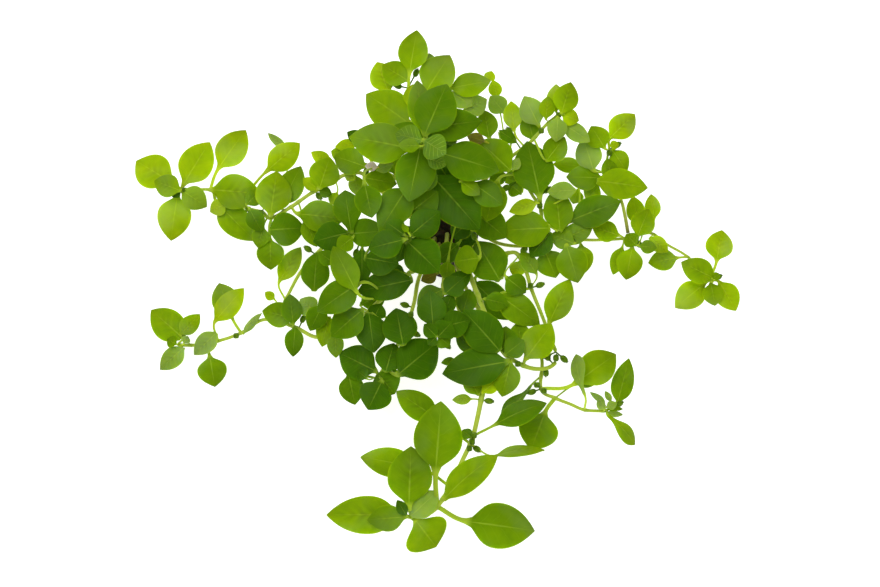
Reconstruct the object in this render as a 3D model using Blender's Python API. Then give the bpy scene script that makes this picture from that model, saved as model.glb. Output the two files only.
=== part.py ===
"""A ludwigia: an emersed water plant with long leafy shoots, standing on its own root plug.

The plant was drawn from one high viewpoint. Every drawing position (x, y) is placed at its own height above
the surface that the plug stands on, so the shoots, leaves and capsules take their real places in space.
"""
import math

import bmesh
import bpy
from mathutils import Vector
from mathutils.bvhtree import BVHTree

MM = 0.001

# The root plug: growing medium held together by roots.
PLUG_TOP_RADIUS = 0.0150
PLUG_FOOT_RADIUS = 0.0132
PLUG_HEIGHT = 0.0280
PLUG_SIDES = 20
PLUG_WAVE = 0.0006

# Stems and leaf stalks.
STEM_RADIUS_OLD = 0.00105
STEM_RADIUS_YOUNG = 0.00072
SQUARE = ((1, 0), (0, 1), (-1, 0), (0, -1))
STEM_STEP = 0.015
UPRIGHT_START = 0.005
COLLAR = 0.0021
STALK_RADIUS = 0.00048
SHORTEST_STALK = 0.0030
LONG_STALK = 0.0060
STUB = 0.0026
# The ways in which a stalk may bow aside, and a capsule lean, to pass its neighbours.
LEVEL = ((0, 0), (4, 0), (-4, 0), (0, 4), (0, -4), (4, 4), (-4, 4), (4, -4), (-4, -4))
BOWS = [Vector((x, y, z)) * MM for z in (2, -2, 6, -6) for x, y in LEVEL]
CAPSULE_TURNS = [Vector((x, y, z)) * (MM / 2) for z in (0, 4, -4) for x, y in LEVEL]

# Leaf blades. A blade's outline has its corners at these shares of its length.
BLADE_THICK = 0.0008
WIDEST_AT = 0.42
TRUE_WIDTH_TO_LENGTH = 0.51
LEAST_WIDTH_TO_LENGTH = 0.44
ARCH = 0.06
MARGIN_DROP = 0.045
FINE_ROWS = (0.14, 0.42, 0.74)
PLAIN_ROWS = (0.32, 0.72)

# Seed capsules at the nodes.
CAPSULE_LENGTH = 0.0040
CAPSULE_RADIUS = 0.0016

# Clearances between pieces, between blades, and from blades to stems and to the surface below.
GAP = 0.0004
BLADE_GAP = 0.0014
STEM_GAP = 0.0024
LOWEST_BLADE = 0.0022

# Faults of a stalk or capsule that is fitted between its neighbours, each with how much it counts.
CROSSING = 30
CLOSE = 5
BENT_BACK = 60
BOWED = 0.5
GOOD_SCORE = 25
FITTINGS = 3

# The high viewpoint that the drawing positions belong to.
VIEW_TILT = math.radians(72.0)
VIEW_RANGE = 0.700
DRAWING_FOCAL = 1564.4
DRAWING_CENTRE = (440.0, 293.5)
VIEW_TARGET = Vector((-0.0031, -0.0410, 0.060))

FORWARD = Vector((0.0, math.cos(VIEW_TILT), -math.sin(VIEW_TILT)))
ACROSS = Vector((1.0, 0.0, 0.0))
UPWARD = Vector((0.0, math.sin(VIEW_TILT), math.cos(VIEW_TILT)))
EYE = VIEW_TARGET - FORWARD * VIEW_RANGE

# Each shoot has its stem from the plug to the tip as (x, y, height in mm), its leaves, and its capsules. Where it
# isn't as stout as most, girth is its stoutness beside theirs.
# A leaf is (name or None, base x, base y, tip x, tip y, width, rise of the base over the stem in mm,
# tilt of the blade in degrees, tone, the stem position it grows from where that isn't the nearest, and the share
# of its length at which it is widest where that isn't the usual one).
# A leaf with a name is a piece of its own. The others are grown together with their stem.
# Tones: y young yellow-green, b bright, m middle, d dark, k deep shade green, g with a grey bloom, c a crown's
# newest leaves, w withered, p faded to pinkish white.
SHOOTS = {
    "west": dict(
        stem=[(424, 224, 28.3), (404, 214, 44), (385, 194, 55), (372, 185, 58), (361, 173, 59), (342, 176, 56),
              (332, 183, 54), (313, 192, 50), (291, 207, 46), (271, 218, 42), (262, 212, 41), (247, 208, 39),
              (230, 199, 37), (210, 190, 35), (195, 190, 34), (181, 190, 34)],
        leaves=[
            ("leaf_west_1", 185, 182, 210, 142, 32, 3, 4, "b", (181, 190)),
            ("leaf_west_2", 172, 183, 136, 161, 34, 3, -8, "y", (181, 190), 0.5),
            ("leaf_west_3", 177, 198, 171, 241, 32, 1, -14, "b", (181, 190)),
            ("leaf_west_4", 183, 191, 207, 207, 23, 5, -8, "m", (182, 190)),
            (None, 179, 190, 154, 181, 22, 7, 2, "m", (181, 190)),
            (None, 180, 192, 172, 197, 8, 6, 10, "k", (181, 190)),
            ("leaf_west_5", 220, 166, 246, 130, 29, 4, 4, "b", (210, 187)),
            ("leaf_west_6", 214, 190, 261, 194, 33, 6, -6, "b", (209, 190)),
            ("leaf_west_7", 219, 205, 255, 241, 28, 1, -16, "b", (212, 192)),
            (None, 225, 204, 210, 212, 16, -2, -12, "y", (228, 199)),
            (None, 247, 204, 262, 190, 16, 0, 0, "m", (247, 208)),
            (None, 250, 210, 262, 232, 18, 1, -8, "d", (247, 208)),
            ("leaf_west_8", 269, 169, 300, 143, 25, 3, 2, "b", (252, 184)),
            (None, 284, 150, 268, 133, 9, -3, 2, "g", (262, 212)),
            ("leaf_west_9", 271, 213, 277, 171, 34, 5, 0, "b", (270, 217)),
            (None, 282, 204, 301, 166, 25, 0, 2, "m", (283, 211)),
            ("leaf_west_10", 270, 230, 305, 228, 32, 4, -8, "d", (271, 219)),
            (None, 270, 241, 271, 270, 26, -2, -10, "m", (271, 219)),
            (None, 320, 187, 330, 157, 29, 6, 2, "b", (318, 190)),
            (None, 320, 191, 332, 194, 11, 2, -10, "d", (318, 190)),
            (None, 330, 163, 311, 152, 13, 0, 4, "y", (338, 177)),
            (None, 355, 176, 358, 196, 15, 0, -10, "b", (353, 174)),
            (None, 337, 193, 331, 205, 12, -5, -8, "y", (337, 180)),
            (None, 318, 189, 303, 178, 13, 2, 2, "m", (313, 192)),
            (None, 300, 214, 345, 219, 29, 4, -6, "m", (291, 208)),
            (None, 305, 220, 317, 247, 17, 0, -20, "m", (300, 203)),
            (None, 263, 228, 258, 248, 17, 0, -15, "m", (268, 217)),
        ],
        capsules=[(261, 213, 41), (247, 209, 40), (319, 196, 48), (186, 186, 36)],
    ),
    "southwest": dict(
        stem=[(434, 243, 28.3), (420, 262, 42), (393, 288, 42), (360, 318, 36), (336, 332, 32), (316, 337, 30),
              (297, 328, 27), (280, 322, 25), (262, 320, 23), (241, 333, 20), (218, 341, 18), (196, 345, 16),
              (178, 345, 15)],
        leaves=[
            ("leaf_southwest_1", 183, 338, 151, 310, 30, 2, 0, "b", (178, 345)),
            (None, 181, 334, 200, 314, 17, 3, 4, "m", (190, 345)),
            (None, 176, 344, 167, 339, 12, 4, 8, "m", (178, 345)),
            (None, 183, 348, 160, 370, 19, 1, -14, "m", (178, 345)),
            (None, 184, 343, 188, 336, 9, 5, 10, "g", (180, 345)),
            (None, 216, 333, 194, 355, 19, 4, -10, "g", (218, 341)),
            ("leaf_southwest_2", 216, 320, 244, 288, 22, 5, 2, "b", (216, 341)),
            ("leaf_southwest_3", 231, 315, 219, 283, 26, 1, 2, "b", (241, 333)),
            ("leaf_southwest_4", 210, 358, 215, 387, 28, 0, -16, "m", (206, 343)),
            (None, 244, 333, 262, 313, 9, 2, 4, "g", (241, 333)),
            (None, 274, 299, 265, 292, 9, 4, 0, "y", (278, 321)),
            (None, 293, 318, 262, 311, 24, 5, -4, "m", (290, 325)),
            (None, 293, 323, 290, 294, 20, 8, 4, "d", (292, 326)),
            (None, 295, 328, 293, 357, 18, 0, -14, "d", (297, 328)),
            (None, 315, 312, 300, 299, 20, 3, 2, "g", (318, 337)),
            (None, 322, 306, 310, 331, 20, 7, -10, "d", (326, 335)),
            (None, 329, 317, 322, 347, 19, 2, -14, "b", (328, 335)),
            (None, 335, 334, 336, 358, 16, 1, -16, "m", (333, 333)),
            (None, 361, 311, 331, 337, 30, 12, -8, "d", (362, 317)),
            (None, 411, 280, 357, 292, 29, 5, -4, "k", (410, 271)),
            (None, 356, 285, 317, 312, 30, 16, -6, "d", (385, 295)),
            (None, 355, 289, 333, 246, 25, 18, 4, "m", (378, 302)),
        ],
        capsules=[(303, 319, 29), (237, 336, 22)],
    ),
    "west_low": dict(
        stem=[(427, 235, 28.3), (400, 240, 46), (372, 240, 50), (348, 234, 48), (328, 244, 43), (314, 256, 38),
              (300, 273, 33), (288, 295, 29), (284, 303, 28)],
        leaves=[
            (None, 280, 280, 301, 247, 19, 1, 2, "y", (285, 301)),
            (None, 314, 290, 317, 252, 27, 4, 2, "d", (312, 260)),
            (None, 334, 263, 318, 252, 15, 8, 0, "d", (330, 242)),
            (None, 347, 233, 313, 242, 29, 6, -8, "k", (348, 234)),
            (None, 349, 234, 386, 231, 27, 5, 2, "d", (352, 235)),
            (None, 351, 231, 345, 190, 27, 4, 6, "d", (354, 235), 0.56),
            (None, 352, 238, 337, 250, 17, 8, -6, "m", (350, 234)),
            (None, 366, 258, 399, 264, 29, 6, -6, "k", (376, 240)),
            (None, 362, 250, 362, 285, 20, 2, -12, "k", (366, 239)),
        ],
        capsules=[(308, 249, 40), (356, 253, 47)],
    ),
    "northwest": dict(
        stem=[(428, 212, 28.3), (414, 196, 50), (398, 180, 66), (382, 170, 73), (367, 164, 76)],
        leaves=[
            (None, 364, 166, 334, 156, 26, 3, -8, "d", (369, 165)),
            (None, 356, 144, 335, 147, 12, 0, 0, "y", (372, 166)),
            (None, 362, 140, 347, 132, 13, 4, 4, "k", (374, 167)),
            (None, 352, 173, 347, 181, 11, -2, -10, "y", (368, 165)),
            (None, 345, 156, 331, 151, 14, -2, 0, "b", (367, 164)),
            (None, 366, 178, 397, 184, 22, 2, -4, "m", (376, 168)),
            (None, 365, 186, 372, 218, 26, 4, -16, "d", (372, 166)),
            (None, 395, 173, 390, 150, 20, 2, 2, "m", (394, 177)),
            (None, 377, 170, 393, 164, 11, 6, 2, "g", (380, 169)),
            (None, 377, 167, 365, 166, 9, 7, 2, "p", (381, 170)),
        ],
        capsules=[(366, 172, 75), (352, 171, 70)],
    ),
    "top": dict(
        stem=[(438, 204, 28.3), (430, 180, 50), (420, 148, 66), (413, 120, 76), (409, 98, 82), (408, 88, 85)],
        leaves=[
            ("leaf_top_1", 410, 70, 417, 30, 28, 5, 10, "b", (408, 90)),
            (None, 407, 80, 382, 65, 24, 3, 2, "b", (408, 90)),
            ("leaf_top_2", 388, 91, 377, 62, 25, -3, 0, "y", (409, 98)),
            ("leaf_top_3", 407, 122, 366, 94, 38, 9, 4, "b", (413, 120)),
            ("leaf_top_4", 427, 90, 450, 55, 34, 5, 6, "b", (410, 101)),
            (None, 430, 66, 429, 53, 11, 0, 4, "g", (409, 96)),
            (None, 452, 88, 491, 81, 23, 0, 0, "b", (411, 110)),
            (None, 452, 93, 473, 106, 19, -2, -4, "g", (412, 113)),
            (None, 465, 111, 487, 99, 21, -3, 2, "g", (412, 117)),
            (None, 409, 106, 413, 84, 14, 5, 8, "y", (410, 103)),
            (None, 488, 81, 492, 71, 11, -6, 6, "y", (411, 106)),
        ],
        capsules=[(416, 73, 84), (398, 86, 82)],
    ),
    "north": dict(
        stem=[(444, 215, 28.3), (442, 196, 52), (437, 172, 76), (430, 152, 93), (425, 139, 103)],
        leaves=[
            (None, 426, 132, 447, 84, 40, 6, 6, "d", (425, 141)),
            (None, 423, 130, 417, 80, 24, 3, 8, "m", (425, 141)),
            (None, 428, 128, 482, 121, 31, 3, -4, "d", (426, 143)),
            (None, 421, 140, 395, 134, 24, 8, 6, "c", (425, 139)),
            (None, 419, 146, 398, 145, 13, 10, 4, "m", (425, 139)),
            (None, 425, 141, 446, 154, 26, 8, 0, "c", (425, 139)),
            (None, 428, 158, 446, 166, 15, 2, -12, "c", (427, 145)),
            (None, 408, 148, 349, 137, 38, 3, -6, "m", (427, 145)),
            (None, 420, 149, 409, 202, 38, 3, -14, "d", (428, 147)),
            (None, 444, 154, 499, 171, 37, 1, -8, "d", (429, 149)),
            (None, 434, 168, 412, 190, 26, -2, -18, "d", (436, 168)),
            (None, 438, 163, 459, 197, 30, -9, -16, "k", (438, 174)),
            (None, 434, 178, 480, 230, 43, -2, -12, "k", (438, 174)),
            (None, 427, 147, 392, 126, 28, -6, -2, "d", (430, 152)),
            (None, 425, 140, 458, 146, 26, -6, -4, "k", (430, 152)),
        ],
        capsules=[(452, 142, 96), (428, 158, 92)],
    ),
    "northeast": dict(
        stem=[(461, 206, 28.3), (478, 186, 48), (503, 163, 60), (527, 145, 66), (538, 134, 69), (546, 125, 70),
              (558, 115, 70)],
        leaves=[
            ("leaf_northeast_1", 562, 112, 571, 82, 24, 3, 6, "b", (558, 115)),
            (None, 556, 110, 556, 84, 18, 0, 4, "y", (557, 116)),
            (None, 546, 118, 548, 96, 15, 1, 4, "b", (550, 121)),
            (None, 563, 115, 579, 121, 16, 3, 0, "b", (558, 115)),
            (None, 558, 118, 556, 142, 19, 4, -8, "g", (557, 116)),
            (None, 565, 125, 590, 142, 17, 2, -8, "g", (558, 115)),
            (None, 538, 124, 524, 96, 24, 3, 4, "g", (541, 131)),
            (None, 533, 139, 527, 114, 20, -1, 2, "m", (534, 137)),
            (None, 514, 129, 511, 101, 18, 1, 4, "y", (524, 147)),
            (None, 547, 160, 565, 137, 23, -2, 2, "m", (532, 140)),
            (None, 504, 112, 490, 96, 19, -4, 4, "g", (512, 156)),
            (None, 497, 97, 493, 80, 13, -6, 6, "y", (508, 159)),
            (None, 500, 131, 517, 143, 12, 2, -4, "d", (508, 159)),
            (None, 489, 137, 484, 110, 21, 4, 4, "d", (502, 164)),
            (None, 509, 169, 478, 141, 34, 8, 0, "m", (503, 164)),
            (None, 484, 141, 467, 136, 12, 10, 4, "w", (498, 168)),
        ],
        capsules=[(562, 113, 72), (541, 131, 70), (509, 131, 62)],
    ),
    "northeast_low": dict(
        stem=[(468, 212, 28.3), (488, 224, 44), (514, 232, 51), (534, 230, 54), (541, 220, 56), (540, 207, 58),
              (533, 196, 60), (522, 178, 62), (517, 168, 63)],
        leaves=[
            (None, 539, 193, 527, 141, 39, 7, 4, "d", (540, 207)),
            (None, 520, 173, 505, 183, 15, -2, -10, "y", (519, 171)),
            (None, 536, 203, 509, 212, 15, 1, -6, "y", (540, 207)),
            (None, 549, 228, 499, 231, 34, 3, -4, "m", (541, 222)),
            (None, 560, 230, 556, 188, 28, 3, 2, "m", (541, 218)),
            (None, 575, 190, 547, 192, 17, 8, -4, "g", (541, 212)),
            (None, 521, 193, 509, 184, 17, -2, -4, "d", (523, 180)),
            (None, 506, 175, 489, 180, 15, -3, -6, "m", (518, 170)),
            (None, 497, 183, 486, 222, 28, 6, -14, "m", (519, 172)),
            (None, 550, 233, 530, 257, 22, 2, -16, "k", (537, 228)),
            (None, 513, 170, 519, 158, 10, 3, 10, "g", (517, 168)),
        ],
        capsules=[(543, 203, 58), (519, 166, 64), (547, 190, 58), (506, 188, 60)],
    ),
    "east": dict(
        girth=0.8,
        stem=[(471, 230, 28.3), (498, 243, 43), (530, 246, 49), (562, 240, 50), (598, 240, 47), (628, 238, 44),
              (650, 233, 41), (668, 245, 38), (688, 257, 34), (712, 280, 27)],
        leaves=[
            ("leaf_east_1", 717, 259, 722, 230, 26, 4, 4, "y", (710, 277)),
            ("leaf_east_2", 713, 278, 681, 262, 24, 4, -4, "b", (712, 279)),
            ("leaf_east_3", 703, 285, 675, 308, 26, 0, -10, "b", (710, 278)),
            (None, 711, 284, 715, 306, 20, 1, -12, "b", (712, 280)),
            ("leaf_east_4", 720, 283, 736, 311, 23, 2, -12, "b", (712, 280)),
            (None, 710, 281, 702, 277, 8, 6, 10, "b", (712, 280)),
            (None, 713, 278, 720, 274, 8, 6, 14, "m", (712, 280)),
            (None, 676, 258, 648, 263, 20, 3, -6, "b", (687, 256)),
            (None, 640, 246, 657, 248, 13, 4, -4, "m", (630, 238)),
            (None, 650, 238, 668, 252, 15, 2, -8, "m", (652, 234)),
            ("leaf_east_5", 638, 235, 649, 209, 23, 3, 4, "b", (636, 236)),
            (None, 638, 224, 633, 196, 18, -2, 4, "y", (632, 237)),
            (None, 654, 218, 651, 194, 15, -3, 4, "y", (648, 233)),
            ("leaf_east_6", 572, 220, 621, 201, 29, 7, 2, "d", (562, 240)),
            (None, 618, 235, 592, 227, 20, 2, -2, "b", (626, 238)),
            (None, 636, 245, 626, 234, 16, 7, 6, "m", (642, 235)),
            (None, 622, 248, 613, 275, 15, 0, -12, "b", (626, 239)),
            ("leaf_east_7", 632, 249, 626, 280, 25, 2, -14, "b", (629, 238)),
            (None, 562, 240, 593, 226, 20, 4, 0, "m", (552, 243)),
            (None, 573, 243, 551, 234, 20, 6, -4, "m", (580, 240)),
            (None, 581, 246, 584, 274, 21, 0, -14, "b", (580, 240)),
            (None, 567, 247, 578, 283, 30, 5, -14, "m", (566, 240)),
            (None, 545, 251, 556, 278, 27, 2, -14, "m", (546, 244)),
            (None, 578, 190, 573, 204, 15, -8, -8, "y", (578, 240)),
        ],
        capsules=[(639, 244, 45), (571, 237, 49), (718, 277, 29)],
    ),
    "east_north": dict(
        girth=0.75,
        stem=[(628, 233, 46.5), (625, 216, 50), (621, 200, 53), (613, 187, 54), (606, 177, 55), (607, 160, 56),
              (609, 150, 56)],
        leaves=[
            ("leaf_northeast_2", 611, 137, 635, 114, 24, 3, 6, "y", (609, 150)),
            (None, 604, 147, 591, 126, 22, 2, 2, "b", (609, 150)),
            (None, 613, 151, 627, 172, 19, 3, -10, "b", (609, 150)),
            (None, 610, 146, 619, 144, 9, 6, 8, "y", (609, 150)),
            (None, 612, 180, 607, 158, 16, 0, 4, "m", (609, 182)),
            ("leaf_east_8", 598, 181, 648, 188, 29, 6, -4, "b", (607, 177)),
            (None, 600, 178, 566, 177, 24, 3, -6, "m", (606, 177)),
            (None, 593, 169, 583, 138, 25, 2, 4, "g", (606, 175)),
            (None, 580, 166, 553, 164, 15, -3, -2, "b", (606, 174)),
            (None, 598, 185, 585, 198, 18, -3, -10, "y", (610, 183)),
        ],
        capsules=[(606, 152, 57), (605, 177, 57), (617, 145, 58)],
    ),
    "east_low": dict(
        stem=[(467, 240, 28.3), (482, 254, 41), (502, 254, 48), (516, 253, 51), (524, 266, 50), (528, 277, 49),
              (531, 288, 48), (541, 313, 46), (548, 331, 45), (556, 352, 43)],
        leaves=[
            ("leaf_southeast_4", 550, 321, 570, 279, 26, 6, 4, "b", (555, 349)),
            (None, 507, 278, 526, 293, 22, 3, -10, "d", (517, 255)),
            (None, 536, 273, 521, 251, 15, 4, 0, "m", (531, 288)),
            (None, 500, 296, 540, 325, 28, 5, -4, "m", (531, 288)),
            (None, 499, 279, 476, 241, 36, 5, 4, "d", (508, 254)),
            (None, 475, 283, 512, 320, 30, -8, -6, "d", (500, 254)),
            (None, 520, 262, 514, 277, 16, -2, -8, "b", (524, 267)),
        ],
        capsules=[(564, 359, 43), (547, 356, 43), (540, 285, 49), (528, 287, 49), (524, 250, 53)],
    ),
    "southeast_low": dict(
        girth=1.3,
        stem=[(459, 246, 28.3), (470, 275, 46), (487, 318, 54), (500, 346, 55), (510, 358, 53), (527, 367, 50),
              (540, 369, 49), (550, 367, 48), (556, 362, 47)],
        leaves=[
            (None, 527, 357, 552, 324, 31, 6, 4, "b", (524, 366)),
            (None, 499, 350, 463, 310, 36, 5, 0, "k", (502, 348)),
            (None, 505, 352, 506, 326, 25, 3, 2, "d", (504, 352)),
            (None, 506, 354, 524, 340, 21, 6, -2, "m", (508, 356)),
            (None, 505, 362, 442, 374, 36, 5, -8, "k", (508, 357)),
            (None, 455, 360, 441, 363, 8, -2, -4, "d", (500, 346)),
            (None, 510, 363, 502, 397, 26, 1, -14, "m", (511, 358)),
            (None, 486, 299, 509, 305, 18, 2, -6, "d", (481, 302)),
            (None, 521, 344, 518, 322, 20, -2, -4, "m", (506, 353)),
            (None, 476, 351, 456, 334, 17, -2, -4, "d", (500, 346)),
            (None, 463, 312, 470, 289, 20, 2, 0, "d", (478, 295)),
        ],
        capsules=[(556, 358, 51), (546, 373, 45), (547, 357, 48), (519, 360, 52)],
    ),
    "southeast": dict(
        stem=[(452, 249, 28.3), (462, 280, 38), (488, 322, 43), (520, 346, 42), (541, 357, 41), (541, 389, 39),
              (555, 398, 38), (570, 404, 36), (585, 410, 34), (606, 411, 32)],
        leaves=[
            ("leaf_southeast_1", 577, 382, 616, 354, 33, 4, 2, "b", (542, 389), 0.5),
            (None, 577, 384, 602, 374, 15, 0, -4, "m", (555, 398)),
            ("leaf_southeast_2", 584, 393, 576, 354, 13, 13, 4, "g", (584, 409), 0.64),
            ("leaf_southeast_3", 618, 401, 629, 358, 21, 3, 4, "m", (606, 410), 0.38),
            (None, 609, 416, 635, 445, 16, 0, -12, "b", (606, 411), 0.64),
            (None, 605, 405, 590, 392, 7, 3, 4, "g", (604, 411)),
            (None, 611, 401, 605, 391, 6, 4, 8, "g", (606, 410)),
            (None, 607, 407, 617, 403, 9, 5, 10, "g", (606, 410)),
            (None, 608, 409, 623, 409, 6, 3, 0, "m", (606, 411)),
            (None, 608, 412, 623, 415, 6, 1, -6, "g", (606, 411)),
            (None, 604, 409, 597, 401, 8, 4, 4, "g", (602, 411)),
            ("leaf_south_9", 544, 415, 531, 450, 38, 0, -16, "m", (555, 399)),
            (None, 530, 387, 501, 414, 12, -3, -2, "d", (541, 374), 0.66),
        ],
        capsules=[(537, 385, 43), (532, 392, 40), (544, 391, 43), (619, 404, 34)],
    ),
    "south": dict(
        girth=1.35,
        stem=[(445, 251, 28.3), (449, 280, 38), (466, 325, 46), (481, 362, 49), (483, 385, 49), (481, 400, 48),
              (477, 420, 46), (472, 440, 43), (465, 455, 41), (456, 474, 38), (448, 490, 36), (440, 503, 34),
              (430, 513, 32), (413, 518, 30)],
        leaves=[
            ("leaf_south_1", 436, 467, 441, 401, 46, 9, 4, "m", (438, 505)),
            ("leaf_south_2", 409, 502, 411, 446, 42, 6, 4, "m", (412, 518)),
            ("leaf_south_3", 415, 467, 360, 457, 28, -4, 0, "b", (449, 487)),
            (None, 436, 418, 396, 391, 26, -6, 2, "d", (471, 442)),
            ("leaf_south_4", 398, 515, 326, 515, 36, 2, -8, "b", (413, 518)),
            (None, 404, 517, 367, 520, 25, 6, -6, "m", (413, 518)),
            (None, 406, 515, 397, 500, 11, 8, 8, "k", (413, 518)),
            (None, 411, 516, 438, 491, 24, 5, 4, "m", (413, 518)),
            ("leaf_south_5", 417, 522, 436, 547, 45, 1, -30, "b", (414, 518), 0.47),
            ("leaf_south_6", 446, 497, 498, 455, 28, 4, 0, "b", (443, 499)),
            ("leaf_south_7", 471, 522, 535, 531, 43, 1, -12, "m", (436, 508)),
            ("leaf_south_8", 498, 423, 547, 403, 23, 4, 4, "d", (473, 438)),
            (None, 498, 455, 545, 450, 13, 0, -2, "b", (471, 442)),
            (None, 471, 399, 452, 400, 10, 3, -2, "b", (481, 398)),
            (None, 478, 394, 466, 372, 18, 3, 4, "m", (481, 397)),
            (None, 483, 392, 500, 378, 15, 4, 2, "y", (482, 394)),
            (None, 471, 437, 462, 430, 11, 4, 8, "d", (472, 439)),
        ],
        capsules=[(471, 440, 45), (477, 449, 42), (466, 445, 43), (489, 401, 48), (471, 434, 45)],
    ),
    "south_low": dict(
        stem=[(438, 249, 28.3), (420, 275, 40), (414, 303, 42), (407, 325, 38), (396, 348, 33), (384, 368, 28),
              (377, 378, 26)],
        leaves=[
            (None, 374, 370, 339, 353, 33, 4, -4, "k", (379, 374)),
            (None, 349, 376, 355, 405, 24, 4, -12, "d", (377, 377)),
            (None, 381, 383, 368, 410, 32, 6, -14, "k", (378, 377)),
            (None, 378, 374, 395, 394, 32, 2, -12, "d", (379, 375)),
            (None, 386, 371, 394, 343, 27, 5, 4, "k", (383, 370)),
            (None, 400, 373, 438, 342, 40, 6, 0, "k", (384, 369)),
            (None, 403, 344, 396, 308, 33, 5, 2, "k", (398, 344)),
            (None, 374, 318, 381, 304, 18, 1, 4, "k", (404, 331)),
            (None, 369, 314, 374, 353, 30, 6, -10, "k", (400, 339)),
            (None, 366, 378, 358, 371, 14, 6, 0, "k", (378, 376)),
            (None, 362, 304, 386, 293, 22, -8, -2, "k", (406, 326)),
            (None, 404, 273, 387, 268, 13, 1, 0, "k", (422, 270)),
        ],
        capsules=[(405, 305, 42), (417, 315, 41), (416, 334, 37)],
    ),
    "south_mid": dict(
        stem=[(447, 239, 28.3), (445, 262, 46), (442, 296, 58), (439, 322, 62), (437, 334, 63)],
        leaves=[
            (None, 433, 325, 430, 290, 28, 1, 2, "k", (439, 326)),
            (None, 440, 329, 446, 303, 22, -3, 4, "k", (439, 322)),
            (None, 439, 336, 452, 322, 22, 4, 0, "k", (437, 334)),
            (None, 436, 336, 424, 324, 15, 5, 2, "k", (437, 334)),
            (None, 439, 337, 450, 346, 16, 3, -8, "d", (437, 334)),
            (None, 436, 337, 428, 345, 11, 4, -6, "k", (437, 334)),
            (None, 443, 327, 470, 320, 26, 0, -2, "k", (439, 324)),
            (None, 446, 293, 463, 278, 22, 3, 2, "k", (442, 294)),
            (None, 448, 288, 471, 273, 18, -3, 0, "k", (443, 284)),
            (None, 444, 313, 452, 294, 16, -3, 0, "k", (440, 312)),
            (None, 436, 274, 421, 281, 13, 2, -4, "w", (444, 274)),
            (None, 441, 290, 417, 305, 22, 2, -10, "d", (442, 296)),
        ],
        capsules=[(447, 345, 62), (435, 325, 63)],
    ),
    "centre": dict(
        stem=[(437, 226, 28.3), (434, 226, 50), (422, 232, 70), (408, 238, 81)],
        leaves=[
            (None, 402, 240, 368, 249, 27, 4, -6, "k", (408, 238)),
            (None, 412, 234, 440, 211, 28, 4, 4, "k", (409, 238)),
            (None, 409, 243, 439, 272, 36, 2, -10, "k", (410, 238)),
            (None, 406, 190, 379, 232, 33, 6, -10, "m", (422, 231), 0.36),
            (None, 403, 234, 386, 222, 20, -1, 4, "k", (410, 237)),
            (None, 404, 244, 398, 262, 13, 1, -8, "k", (409, 238)),
            (None, 411, 212, 438, 191, 30, 2, 2, "d", (424, 230)),
            (None, 408, 232, 402, 224, 6, 4, 8, "y", (409, 238)),
            (None, 404, 214, 384, 204, 22, -4, -4, "k", (424, 230)),
            (None, 418, 231, 392, 248, 24, -8, -4, "k", (414, 235)),
        ],
        capsules=[(404, 229, 83), (413, 241, 80)],
    ),
    "centre_right": dict(
        stem=[(456, 224, 28.3), (458, 216, 48), (463, 204, 62), (470, 194, 70)],
        leaves=[
            (None, 462, 182, 480, 195, 15, 4, -4, "b", (469, 195)),
            (None, 477, 214, 506, 238, 30, 0, -10, "d", (464, 203)),
            (None, 478, 258, 454, 262, 27, 2, -8, "m", (462, 207)),
            (None, 468, 222, 452, 238, 20, -4, -14, "k", (462, 207)),
            (None, 474, 232, 455, 245, 20, -10, -10, "k", (460, 212)),
            (None, 432, 189, 450, 175, 22, 0, 4, "k", (462, 206)),
            (None, 474, 184, 503, 205, 25, 3, -8, "m", (470, 194)),
            (None, 448, 262, 446, 280, 15, -6, -16, "d", (461, 209)),
            (None, 457, 245, 438, 262, 20, -8, -10, "k", (461, 209)),
        ],
        capsules=[(482, 184, 70), (474, 236, 60)],
    ),
}

COLOURS = {
    "plug": ((0.035, 0.020, 0.012), 0.95),
    "stem": ((0.42, 0.56, 0.13), 0.55),
    "leaf": ((0.19, 0.40, 0.02), 0.48),
}


def clear_scene():
    for thing in list(bpy.data.objects):
        bpy.data.objects.remove(thing, do_unlink=True)


def make_material(name, colour, roughness):
    material = bpy.data.materials.new(name)
    material.use_nodes = True
    shader = material.node_tree.nodes["Principled BSDF"]
    shader.inputs["Base Color"].default_value = (*colour, 1.0)
    shader.inputs["Roughness"].default_value = roughness
    shader.inputs["Metallic"].default_value = 0.0
    return material


def at(x, y, height):
    """The point of this height that drawing position (x, y) shows."""
    ray = FORWARD * DRAWING_FOCAL + ACROSS * (x - DRAWING_CENTRE[0]) - UPWARD * (y - DRAWING_CENTRE[1])
    return EYE + ray * ((height - EYE.z) / ray.z)


def seen(point):
    """The drawing position of a point, measured from the drawing's centre."""
    ray = point - EYE
    depth = ray.dot(FORWARD)
    return Vector((ray.dot(ACROSS) * DRAWING_FOCAL / depth, -ray.dot(UPWARD) * DRAWING_FOCAL / depth))


def stem_points(plan):
    """The drawn stem positions in space. A stem that stands on the plug leaves it straight up."""
    points = [at(x, y, height * MM) for x, y, height in plan["stem"]]
    if abs(points[0].z - PLUG_HEIGHT) < 0.001:
        points.insert(1, points[0] + Vector((0.0, 0.0, UPRIGHT_START)))
    return points


def smooth_route(points, step):
    """Points about one step apart on a smooth curve through the given ones."""
    route = [points[0]]
    for i in range(len(points) - 1):
        before = points[max(i - 1, 0)]
        start, end = points[i], points[i + 1]
        after = points[min(i + 2, len(points) - 1)]
        count = max(1, round((end - start).length / step))
        for k in range(1, count + 1):
            t = k / count
            route.append(0.5 * (2 * start + (end - before) * t
                                + (2 * before - 5 * start + 4 * end - after) * t ** 2
                                + (3 * start - before - 3 * end + after) * t ** 3))
    return route


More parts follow.
